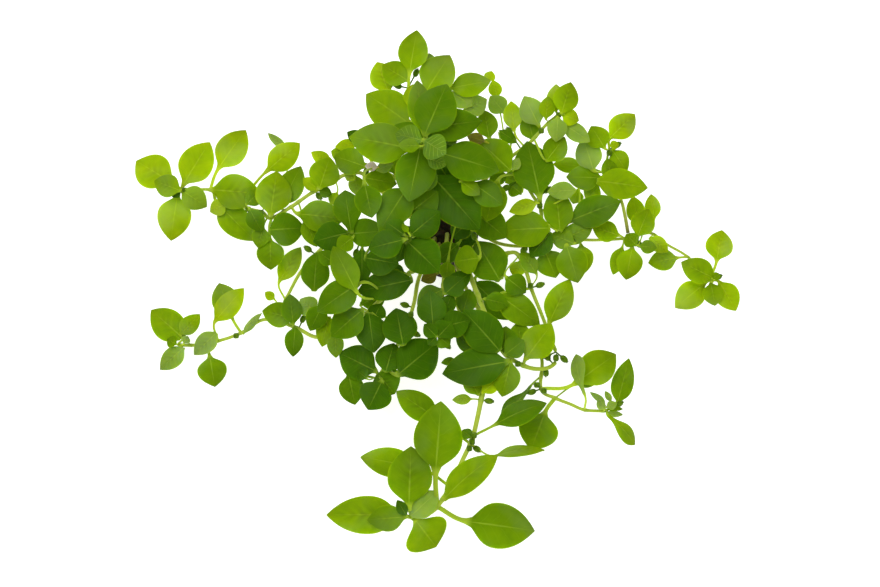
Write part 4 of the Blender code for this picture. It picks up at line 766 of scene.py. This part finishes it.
def settle(leaves, routes):
    """Lifts blades, lowest first, until each one clears the blades below it and the stems it would cut."""
    placed = []
    for leaf in sorted(leaves, key=lambda leaf: leaf.base.z + leaf.tip.z):
        for _ in range(SETTLING_ROUNDS):
            verts, faces = leaf.sheet()
            tree = BVHTree.FromPolygons(verts, faces)
            lift = 0.0
            for low, low_verts, low_tree in placed:
                apart = (low.base + low.tip - leaf.base - leaf.tip).to_2d().length / 2
                if apart < (low.length + leaf.length) * NEIGHBOURS:
                    lift = max(lift, raise_needed(low_tree, low_verts, tree, verts))
            for shoot, route in routes.items():
                for point in route:
                    if shoot == leaf.shoot and (point - leaf.foot).length < SHORTEST_STALK:
                        continue
                    depth = depth_behind(tree, point)
                    if depth is not None and abs(depth) < STEM_GAP:
                        lift = max(lift, STEM_GAP + depth)
            if lift < LEAST_LIFT:
                break
            leaf.base_height += lift * LIFT_SPARE
            leaf.place()
        placed.append((leaf, verts, tree))


routes, leaves = {}, []
for shoot, plan in SHOOTS.items():
    routes[shoot] = stem_route(plan, ROUTE_STEP)
    rows = [*plan.get("large", {}).items(), *((None, row) for row in plan["small"])]
    leaves += [Leaf(shoot, routes[shoot], name, row) for name, row in rows]
settle(leaves, routes)


# The stems' skins: smooth and pale green, swollen at the nodes, with four faint corners. Stalks and capsules
# come out of the nodes. The older part near the plug has fine lengthwise streaks, is a little more yellow,
# and
# right at the plug turns dark and brown: partly the old stem's own colour, partly painted shade from the
# crowded leaves over it.
stem_skin, tree, shader = new_material("stem_skin", {
    "Roughness": 0.42, "Specular IOR Level": 0.2, "Subsurface Weight": 0.25,
    "Subsurface Radius": (1.0, 1.2, 0.3), "Subsurface Scale": 0.0006})
age = add_node(tree, "Attribute", attribute_name="age").outputs["Fac"]
node_mark = add_node(tree, "Attribute", attribute_name="at_node").outputs["Fac"]
streaks = mottling(tree, object_place(tree), 420.0, 4.0)
# Partly painted shade: darkest and brownest where the stem leaves the plug, under the crowded leaves.
tint = colour_ramp(tree, age, [
    (0.0, (0.15, 0.15, 0.030)), (0.08, (0.30, 0.32, 0.050)), (0.25, (0.47, 0.57, 0.060)),
    (1.0, (0.44, 0.58, 0.040))])
shade = colour_ramp(tree, streaks, [(0.3, (0.80, 0.84, 0.65)), (0.6, (1.0, 1.0, 1.0))])
streaked = laid_over(tree, tint, shade, 0.6, "MULTIPLY")
set_inputs(shader, {"Base Color": laid_over(tree, streaked, (0.30, 0.46, 0.030, 1.0), node_mark),
                    "Normal": embossed(tree, streaks, 0.25, 0.0002)})


def add_stem(verts, faces, marks, route, feet, girth):
    """Adds a stem along its route, swollen at its leaves' feet. marks gets (age, nearness of a node)."""
    length = sum((b - a).length for a, b in zip(route, route[1:]))
    rings, run = [], 0.0
    for i, (point, side, other) in enumerate(along_route(route)):
        run += (point - route[i - 1]).length if i else 0.0
        share = run / length
        near = max((math.exp(-((point - foot).length / NODE_LENGTH) ** 2) for foot in feet), default=0.0)
        radius = STEM_RADIUS_OLD + (STEM_RADIUS_YOUNG - STEM_RADIUS_OLD) * share
        radius *= girth * (1 + NODE_SWELL * near) * (1.0 if i < len(route) - 1 else STEM_TIP)
        rings.append(ring(point, side, other, radius, STEM_SIDES, STEM_CORNERS * (1 - near)))
        marks += [(share, NODE_BLUSH * near ** 2)] * STEM_SIDES
    add_tube(verts, faces, rings)


# The blades' and stalks' skins. A leaf is one thin body: its stalk is round below and grooved above, and
# widens into the blade, whose midrib is sunk on top and stands out below. Each leaf has its own green, which
# holds painted light and shade as well.
BLADE_HALF_THICK = 0.00013
STALK_TO_WIDTH = 0.055
SLIMMEST_STALK = 0.00036
STOUTEST_STALK = 0.00110
# How far a stalk stands out above and below its middle, in shares of its half width.
STALK_ABOVE = 0.35
STALK_BELOW = 0.95
RIB_HEIGHT = 0.00034
RIB_WIDTH = 0.00036
GROOVE_DEPTH_TO_RIB = 0.45
GROOVE_WIDTH = 0.00040
BLADE_FULLNESS = 1.07
# Towards the tip the midrib loses this share of its height. The margin is as blunt as this power makes it,
# and waves up and down this many radians along the blade.
RIB_FADE = 0.9
MARGIN_BLUNTNESS = 20
MARGIN_WAVES = 5
STALK_ROWS = 9
BLADE_ROWS = (0.02, 0.05, 0.085, 0.125, 0.17, 0.22, 0.28, 0.34, 0.40, 0.46, 0.52, 0.58, 0.64, 0.70, 0.76,
              0.81, 0.86, 0.90, 0.935, 0.965, 0.987)
SIDE_PLACES = (-1.0, -0.955, -0.75, -0.48, -0.24, -0.08, 0.0, 0.08, 0.24, 0.48, 0.75, 0.955, 1.0)
# The blade's outline: (share of its length from the base, share of its greatest half width).
OUTLINE = ((-0.30, 0.0), (-0.20, 0.06), (-0.10, 0.12), (0.0, 0.22), (0.05, 0.37), (0.11, 0.58), (0.19, 0.80),
           (0.29, 0.95), (0.41, 1.0), (0.54, 0.965), (0.67, 0.835), (0.78, 0.65), (0.87, 0.43),
           (0.945, 0.205), (1.0, 0.0))
# Partly the leaves' own greens and partly painted light and shade: the bright ones for leaves out in the
# light, the dark ones for leaves deep in the plant.
LEAF_GREENS_AND_PAINTED_LIGHT = {
    "y": (0.350, 0.490, 0.002),
    "b": (0.235, 0.378, 0.001),
    "m": (0.165, 0.298, 0.001),
    "d": (0.098, 0.215, 0.001),
    "k": (0.052, 0.145, 0.001),
    # g: mostly a painted sheen, and on some leaves the paler underside.
    "g": (0.262, 0.400, 0.046),
    "c": (0.130, 0.255, 0.014),
    "w": (0.170, 0.160, 0.012),
    "p": (0.720, 0.600, 0.480),
}
LEAF_GLOSS = (0.75, 1.0, 0.20, 1.0)
# The midrib's half width is a share of the blade's. The side veins' is a share of the way from one to the
# next. They are swept forward towards the margin and wander a little, by shares of the blade's length.
MIDRIB_HALF_WIDTH = 0.085
SIDE_VEINS = 7.0
VEIN_HALF_WIDTH = 0.075
VEIN_SWEEP = 0.23
VEIN_WANDER = 0.07
# How strongly the side veins show, on a crown's newest leaves and on all others.
CROWN_VEINS = 2.0
FAINT_VEINS = 0.15


def outline_width(x):
    """The share of a blade's greatest half width at share x of its length, along a smooth curve."""
    if x <= OUTLINE[0][0]:
        return OUTLINE[0][1]
    for i in range(len(OUTLINE) - 1):
        (x0, y0), (x1, y1) = OUTLINE[i], OUTLINE[i + 1]
        if x <= x1:
            before, after = OUTLINE[max(i - 1, 0)], OUTLINE[min(i + 2, len(OUTLINE) - 1)]
            slope0 = (y1 - before[1]) / (x1 - before[0])
            slope1 = (after[1] - y0) / (after[0] - x0)
            t, gap = (x - x0) / (x1 - x0), x1 - x0
            return ((1 + 2 * t) * (1 - t) ** 2 * y0 + t * (1 - t) ** 2 * gap * slope0
                    + t * t * (3 - 2 * t) * y1 + t * t * (t - 1) * gap * slope1)
    return OUTLINE[-1][1]


def stalk_route(leaf):
    """A smooth curve from the stem to the blade's base, which it reaches in line with the blade."""
    start, end = leaf.foot, leaf.base
    reach = (end - start).length
    heading = (leaf.along + leaf.face * ARCH * 4).normalized()
    forward = max(0.0, heading.dot(end - start) / reach)
    first = start + (end - start) * 0.3 + leaf.face * reach * 0.05
    last = end - heading * reach * (0.20 + 0.32 * forward)
    shares = [k / STALK_ROWS for k in range(STALK_ROWS)]
    return [start * (1 - t) ** 3 + first * 3 * t * (1 - t) ** 2 + last * 3 * t * t * (1 - t) + end * t ** 3
            for t in shares] + [end]


def leaf_sections(leaf):
    """Where a leaf is cut across, from the stem on: (share of the blade's length, centre, way ahead)."""
    route = stalk_route(leaf)
    away = [0.0]
    for a, b in zip(route[::-1], route[-2::-1]):
        away.append(away[-1] + (b - a).length)
    sections = []
    for i, point in enumerate(route):
        ahead = (route[min(i + 1, len(route) - 1)] - route[max(i - 1, 0)]).normalized()
        sections.append((-away[len(route) - 1 - i] / leaf.length, point, ahead))
    for t in BLADE_ROWS:
        rise = ARCH * leaf.length * 4 * t * (1 - t)
        point = leaf.base + leaf.along * (leaf.length * t) + leaf.face * rise
        sections.append((t, point, (leaf.along + leaf.face * (ARCH * 4 * (1 - 2 * t))).normalized()))
    return sections


def add_leaf(verts, faces, marks, leaf, chance):
    """Adds a leaf. marks gets (share along the blade, share across it, underside, the leaf's own number)."""
    first, around = len(verts), 2 * len(SIDE_PLACES) - 2
    own = chance.random()
    stalk = min(STOUTEST_STALK, max(SLIMMEST_STALK, STALK_TO_WIDTH * leaf.width))
    wave, phase, twist = chance.uniform(0.1, 0.4) * MM, chance.uniform(0, 6.28), chance.uniform(-0.10, 0.10)
    fold = MARGIN_DROP * chance.uniform(-0.4, 1.5)
    sections = leaf_sections(leaf)
    for t, centre, ahead in sections:
        on_blade = max(0.0, t)
        side = (leaf.side - ahead * leaf.side.dot(ahead)).normalized()
        up = side.cross(-ahead)
        turn = twist * on_blade
        side, up = side * math.cos(turn) + up * math.sin(turn), up * math.cos(turn) - side * math.sin(turn)
        widen = outline_width(t ** (math.log(WIDEST_AT) / math.log(leaf.widest)) if t > 0 else t)
        half = max(leaf.width / 2 * widen * BLADE_FULLNESS, stalk * (1 - on_blade))
        blade = min(1.0, max(0.0, (half - stalk * 1.2) / (stalk * 2.5)))
        rib = RIB_HEIGHT * (1 - RIB_FADE * on_blade)
        top, under = [], []
        for s in SIDE_PLACES:
            out = half * s
            round_off = (1 - blade) * stalk * math.sqrt(1 - s * s)
            bend = wave * math.sin(MARGIN_WAVES * t + phase) - fold * leaf.width * (t > 0)
            groove = rib * GROOVE_DEPTH_TO_RIB * math.exp(-(out / GROOVE_WIDTH) ** 2)
            ridge = rib * math.exp(-(out / RIB_WIDTH) ** 2)
            thick = BLADE_HALF_THICK * (1 - abs(s) ** MARGIN_BLUNTNESS)
            spot = centre + side * out + up * (bend * s * s * widen)
            top.append((spot + up * (blade * (thick - groove) + STALK_ABOVE * round_off), s, 0.0))
            under.append((spot - up * (blade * (thick + ridge) + STALK_BELOW * round_off), s, 1.0))
        for spot, s, low in top + under[-2:0:-1]:
            verts.append(spot)
            marks.append((t, s, low, own))
    faces += rows_to_faces(len(sections), around, first)
    faces.append(tuple(range(first, first + around))[::-1])
    end = len(verts) - around
    verts.append(leaf.tip)
    marks.append((1.0, 0.0, 0.0, own))
    faces += [(end + k, end + (k + 1) % around, len(verts) - 1) for k in range(around)]


def maths(tree, operation, *values, clamp=False):
    """The result of one sum on these numbers and sockets."""
    return add_node(tree, "Math", dict(enumerate(values)), operation=operation, use_clamp=clamp).outputs[0]


def rescaled(tree, value, low, high, from_low=0.0, from_high=1.0):
    """A value that runs from low to high while the given one runs between its own two ends."""
    values = {"Value": value, "From Min": from_low, "From Max": from_high, "To Min": low, "To Max": high}
    return add_node(tree, "MapRange", values).outputs["Result"]


def vein_masks(tree, along, centred, wander):
    """A blade's midrib, its side veins, its relief, and the mask for painted shade in each hollow between
    the side veins.
    """
    across = maths(tree, "ABSOLUTE", centred)
    thin = maths(tree, "SUBTRACT", 1.0, maths(tree, "MULTIPLY", along, 0.8))
    rib_share = maths(tree, "DIVIDE", across, maths(tree, "MULTIPLY", thin, MIDRIB_HALF_WIDTH))
    midrib = maths(tree, "SUBTRACT", 1.0, rib_share, clamp=True)
    sweep = maths(tree, "MULTIPLY", maths(tree, "POWER", across, 0.8), VEIN_SWEEP)
    wandering = maths(tree, "MULTIPLY", maths(tree, "SUBTRACT", wander, 0.5), VEIN_WANDER)
    wandered = maths(tree, "ADD", maths(tree, "SUBTRACT", along, sweep), wandering)
    saw = maths(tree, "FRACT", maths(tree, "MULTIPLY", wandered, SIDE_VEINS))
    off = maths(tree, "ABSOLUTE", maths(tree, "SUBTRACT", saw, 0.5))
    line = maths(tree, "SUBTRACT", 1.0, maths(tree, "DIVIDE", off, VEIN_HALF_WIDTH), clamp=True)
    fade = maths(tree, "SUBTRACT", 1.0, maths(tree, "POWER", across, 2.0), clamp=True)
    hump = maths(tree, "MULTIPLY", maths(tree, "SUBTRACT", 0.5, off), 0.5)
    bulge = maths(tree, "MULTIPLY", maths(tree, "SUBTRACT", 0.5, hump), fade)
    height = maths(tree, "SUBTRACT", bulge, maths(tree, "MULTIPLY", midrib, 0.4))
    inner = maths(tree, "POWER", maths(tree, "SUBTRACT", 1.0, across, clamp=True), 2.1)
    from_middle = maths(tree, "ABSOLUTE", maths(tree, "SUBTRACT", along, 0.55))
    middle = maths(tree, "SUBTRACT", 1.0, maths(tree, "MULTIPLY", from_middle, 2.3), clamp=True)
    between = maths(tree, "SUBTRACT", 1.0, maths(tree, "MULTIPLY", off, 2.0))
    # Where painted shade goes: between the side veins, near the midrib, about the blade's middle.
    painted_hollow_shade = maths(tree, "MULTIPLY", maths(tree, "MULTIPLY", between, inner), middle)
    return midrib, maths(tree, "MULTIPLY", line, fade), height, painted_hollow_shade


def leaf_painting():
    """The node group that paints every leaf: clouded greens, pale veins and stalk, cloudy patches of painted
    sheen, painted shade in each hollow beside the midrib, and painted lighting that makes each blade brighter
    at one end and on one half.
    """
    group = bpy.data.node_groups.new("leaf_painting", "ShaderNodeTree")
    for kind, names in (("Float", ("Along", "Across", "Under", "Own", "Vein strength")),
                        ("Vector", ("Place",)),
                        ("Color", ("Tone", "Dark", "Light", "Pale", "Bloom", "Underside", "Stalk"))):
        for name in names:
            group.interface.new_socket(name=name, in_out="INPUT", socket_type="NodeSocket" + kind)
    for name, kind in (("Colour", "Color"), ("Roughness", "Float"), ("Height", "Float")):
        group.interface.new_socket(name=name, in_out="OUTPUT", socket_type="NodeSocket" + kind)
    given = group.nodes.new("NodeGroupInput").outputs
    along, own, place = given["Along"], given["Own"], given["Place"]
    centred = rescaled(group, given["Across"], -1.0, 1.0)
    wander = mottling(group, place, 260.0, 2.0)
    midrib, side_veins, height, painted_hollow_shade = vein_masks(group, along, centred, wander)
    patches = mottling(group, place, 190.0, 3.0)
    # Painted sheen: greyish cloudy patches that stand for gloss reflected on the blades.
    painted_sheen_clouds = rescaled(group, mottling(group, place, 62.0, 1.0), 0.0, 0.42, 0.50, 0.68)
    colour = laid_over(group, given["Dark"], given["Tone"], rescaled(group, patches, 0.0, 1.0, 0.32, 0.52))
    colour = laid_over(group, colour, given["Light"], rescaled(group, patches, 0.0, 1.0, 0.52, 0.72))
    drawn_veins = maths(group, "MULTIPLY", side_veins, given["Vein strength"])
    colour = laid_over(group, colour, given["Pale"], drawn_veins)
    colour = laid_over(group, colour, given["Bloom"], painted_sheen_clouds)
    fading_rib = maths(group, "MULTIPLY", midrib, rescaled(group, along, 0.95, 0.38))
    colour = laid_over(group, colour, given["Pale"], fading_rib)
    colour = laid_over(group, colour, given["Underside"], given["Under"])
    colour = laid_over(group, colour, given["Stalk"], rescaled(group, along, 1.0, 0.0, 0.07, 0.15))
    # Painted lighting: each blade is made brighter towards one end, mostly its base, and on one of its
    # halves, as light falling on it would.
    second = maths(group, "FRACT", maths(group, "MULTIPLY", own, 7.31))
    outwards = maths(group, "SUBTRACT", along, 0.5)
    light = maths(group, "MULTIPLY_ADD", outwards, rescaled(group, own, -0.55, 0.25), 1.0)
    light = maths(group, "MULTIPLY_ADD", centred, rescaled(group, second, -0.16, 0.16), light)
    # Painted shade: darker in each hollow between the side veins by the midrib.
    light = maths(group, "MULTIPLY_ADD", painted_hollow_shade, rescaled(group, second, -0.04, -0.40), light)
    painted = add_node(group, "HueSaturation", {"Color": colour, "Value": light}).outputs["Color"]
    set_inputs(group.nodes.new("NodeGroupOutput"), {
        "Colour": painted, "Roughness": rescaled(group, patches, 0.44, 0.6), "Height": height})
    return group


painting = leaf_painting()


def blade_skin(letter, tone):
    """A leaf's skin in one of the plant's greens, which hold painted light and shade, made paler for its
    veins, painted sheen, underside and stalk.
    """
    skin, tree, shader = new_material("blade_" + letter, {
        "Specular IOR Level": 0.10, "Specular Tint": LEAF_GLOSS, "Subsurface Weight": 0.55,
        "Subsurface Radius": (1.0, 1.2, 0.05), "Subsurface Scale": 0.0005})
    marks = add_node(tree, "Attribute", attribute_name="blade").outputs
    split = add_node(tree, "SeparateColor", {"Color": marks["Color"]}).outputs
    red, green, blue = tone
    painted = add_node(tree, "Group", {
        "Along": split["Red"], "Across": split["Green"], "Under": split["Blue"], "Own": marks["Alpha"],
        "Place": object_place(tree), "Vein strength": CROWN_VEINS if letter == "c" else FAINT_VEINS,
        "Tone": (*tone, 1.0),
        "Dark": (red * 0.86, green * 0.91, blue, 1.0),
        "Light": (red * 1.14, green * 1.07, blue * 1.2, 1.0),
        "Pale": (red * 0.9 + 0.20, green * 0.8 + 0.27, blue + 0.03, 1.0),
        # The greyish green of the painted sheen.
        "Bloom": (red * 0.96 + 0.030, green * 0.93 + 0.030, blue + 0.012 + red * 0.22, 1.0),
        "Underside": (red * 0.8 + 0.06, green * 0.8 + 0.07, blue + 0.05, 1.0),
        "Stalk": (red * 0.7 + 0.24, green * 0.6 + 0.32, 0.030, 1.0)}, node_tree=painting).outputs
    set_inputs(shader, {"Base Color": painted["Colour"], "Roughness": painted["Roughness"],
                        "Normal": embossed(tree, painted["Height"], 0.35, 0.0005)})
    return skin


blade_skins = {letter: blade_skin(letter, tone) for letter, tone in LEAF_GREENS_AND_PAINTED_LIGHT.items()}


# The seed capsules: short, green, four-ribbed cylinders that are left from the flowers. Each sits on a node
# by a short neck, and is crowned by four small, pointed sepals.
CAPSULE_LENGTH = 0.0040
CAPSULE_RADIUS = 0.0014
CAPSULE_SIDES = 16
CAPSULE_RIBS = 0.10
# Its profile: (share of its length, share of its radius).
CAPSULE_PROFILE = ((0.0, 0.30), (0.06, 0.52), (0.18, 0.82), (0.38, 1.0), (0.60, 1.0), (0.80, 0.84),
                   (0.93, 0.58), (1.0, 0.30))
NECK_WIDTH = 0.25
# A capsule whose spot is too near the stem for its length leans out this way instead.
LEAN = Vector((0.0, -0.4, 0.9))
SEPAL_HALF_WIDTH = 0.0005
SEPAL_THICK = 0.00025

capsule_skin, tree, shader = new_material("capsule_skin", {
    "Roughness": 0.5, "Specular IOR Level": 0.12, "Specular Tint": LEAF_GLOSS})
speckle = mottling(tree, object_place(tree), 700.0, 4.0)
tint = colour_ramp(tree, speckle, [
    (0.3, (0.060, 0.130, 0.004)), (0.52, (0.100, 0.200, 0.006)), (0.75, (0.180, 0.300, 0.015))])
set_inputs(shader, {"Base Color": tint, "Normal": embossed(tree, speckle, 0.35, 0.0003)})


def add_capsule(verts, faces, foot, spot):
    """Adds a capsule centred on its spot, with a short neck from the stem and four sepals at its end."""
    reach = spot - foot
    if reach.length < CAPSULE_LENGTH * 0.8:
        reach = LEAN * CAPSULE_LENGTH
    ahead = reach.normalized()
    side = ahead.orthogonal().normalized()
    other = ahead.cross(side)
    base = foot + reach - ahead * (CAPSULE_LENGTH / 2)
    rows = [(foot, NECK_WIDTH), (foot.lerp(base, 0.6), NECK_WIDTH - 0.01)]
    rows += [(base + ahead * CAPSULE_LENGTH * share, wide) for share, wide in CAPSULE_PROFILE]
    rings = [ring(centre, side, other, CAPSULE_RADIUS * wide, CAPSULE_SIDES, CAPSULE_RIBS * wide)
             for centre, wide in rows]
    add_tube(verts, faces, rings)
    rim = base + ahead * CAPSULE_LENGTH
    for k in range(4):
        angle = math.pi * (k + 0.5) / 2
        out = side * math.cos(angle) + other * math.sin(angle)
        across = ahead.cross(out) * SEPAL_HALF_WIDTH
        low = rim + out * CAPSULE_RADIUS * 0.25 - ahead * 0.0002
        tip = rim + out * CAPSULE_RADIUS * 0.70 + ahead * 0.0005
        n = len(verts)
        verts += [low + across, low - across, low + ahead * SEPAL_THICK, tip]
        faces += [(n, n + 2, n + 1), (n, n + 1, n + 3), (n + 1, n + 2, n + 3), (n + 2, n, n + 3)]


# Putting the shoots together. Each shoot's stem with its capsules is one piece and its small leaves are
# another. Each large leaf is a piece of its own, with its stalk set into the stem.
CREASE = math.radians(75)
# The marks along a leaf start on its stalk, this share of the blade's length before the blade.
MARKED_STALK = 0.15


def mark(piece, name, kind, field, values):
    """Stores a number or a colour for each vertex, where the piece's material reads it."""
    attribute = piece.data.attributes.new(name, kind, "POINT")
    attribute.data.foreach_set(field, values)


def leaf_piece(name, group, node):
    """One piece of these leaves, each in its own green, which holds painted light and shade as well."""
    chance = random.Random(name)
    verts, faces, marks, skins = [], [], [], []
    for leaf in group:
        add_leaf(verts, faces, marks, leaf, chance)
        skins += [list(LEAF_GREENS_AND_PAINTED_LIGHT).index(leaf.tone)] * (len(faces) - len(skins))
    piece = new_piece(name, verts, faces, list(blade_skins.values()), [node])
    piece.data.polygons.foreach_set("material_index", skins)
    piece.data.set_sharp_from_angle(angle=CREASE)
    values = []
    for t, s, low, own in marks:
        values += [max(0.0, min(1.0, (t + MARKED_STALK) / (1 + MARKED_STALK))), (s + 1) / 2, low, own]
    mark(piece, "blade", "FLOAT_COLOR", "color", values)


for shoot, plan in SHOOTS.items():
    own = [leaf for leaf in leaves if leaf.shoot == shoot]
    route = stem_route(plan, STEM_RINGS_APART)
    if on_plug(route[0]):
        route.insert(0, route[0] - Vector((0.0, 0.0, STEM_SET_IN)))
    verts, faces, marks = [], [], []
    add_stem(verts, faces, marks, route, [leaf.foot for leaf in own], plan.get("girth", 1.0))
    skinned = len(faces)
    for x, y, height in plan["capsules"]:
        spot = at(x, y, height * MM)
        add_capsule(verts, faces, min(route, key=lambda p: (p - spot).length), spot)
    marks += [(0.5, 0.0)] * (len(verts) - len(marks))
    node = "shoot_" + shoot
    piece = new_piece(shoot + "_stem", verts, faces, [stem_skin, capsule_skin], [node])
    piece.data.polygons.foreach_set("material_index", [0] * skinned + [1] * (len(faces) - skinned))
    for name, values in zip(("age", "at_node"), zip(*marks)):
        mark(piece, name, "FLOAT", "value", values)
    leaf_piece(shoot + "_leaves", [leaf for leaf in own if not leaf.name], node)
    for leaf in own:
        if leaf.name:
            leaf_piece("blade_" + leaf.name, [leaf], "leaf_" + leaf.name)


# The floor, the light and the camera: white paper under soft studio lamps, and a camera that looks down on
# the plant from high in front.
SENSOR_WIDTH = 36.0
PLANT_MIDDLE = Vector((0.0, -0.02, 0.05))

floor_mesh = bpy.data.meshes.new("floor")
floor_mesh.from_pydata([(-3, -3, 0), (3, -3, 0), (3, 3, 0), (-3, 3, 0)], [], [(0, 1, 2, 3)])
floor = bpy.data.objects.new("floor", floor_mesh)
bpy.context.scene.collection.objects.link(floor)
floor.location.z = -0.0002
paper, tree, shader = new_material("floor_paper", {
    "Roughness": 0.9, "Specular IOR Level": 0.1, "Base Color": (0.86, 0.86, 0.86, 1.0),
    "Emission Color": (1.0, 1.0, 1.0, 1.0), "Emission Strength": 0.7})
floor_mesh.materials.append(paper)

world = bpy.data.worlds.new("studio")
world.use_nodes = True
set_inputs(world.node_tree.nodes["Background"], {"Color": (1.0, 1.0, 1.0, 1.0), "Strength": 0.50})
bpy.context.scene.world = world


def add_lamp(name, place, size, power):
    """A soft square studio lamp, turned to the plant."""
    lamp = bpy.data.lights.new(name, "AREA")
    lamp.size = size
    lamp.energy = power
    holder = bpy.data.objects.new(name, lamp)
    holder.location = place
    holder.rotation_euler = (PLANT_MIDDLE - Vector(place)).to_track_quat("-Z", "Y").to_euler()
    bpy.context.scene.collection.objects.link(holder)


add_lamp("top_softbox", (-0.35, 0.15, 1.3), 0.9, 8.5)
add_lamp("front_softbox", (0.7, -0.9, 1.1), 0.8, 3.0)

camera_data = bpy.data.cameras.new("camera")
camera_data.sensor_width = SENSOR_WIDTH
camera_data.lens = SENSOR_WIDTH * DRAWING_FOCAL / DRAWING_WIDTH
camera_data.clip_start = 0.01
camera = bpy.data.objects.new("camera", camera_data)
camera.location = EYE
camera.rotation_euler = FORWARD.to_track_quat("-Z", "Y").to_euler()
bpy.context.scene.collection.objects.link(camera)
bpy.context.scene.camera = camera
bpy.context.scene.view_settings.view_transform = "Standard"
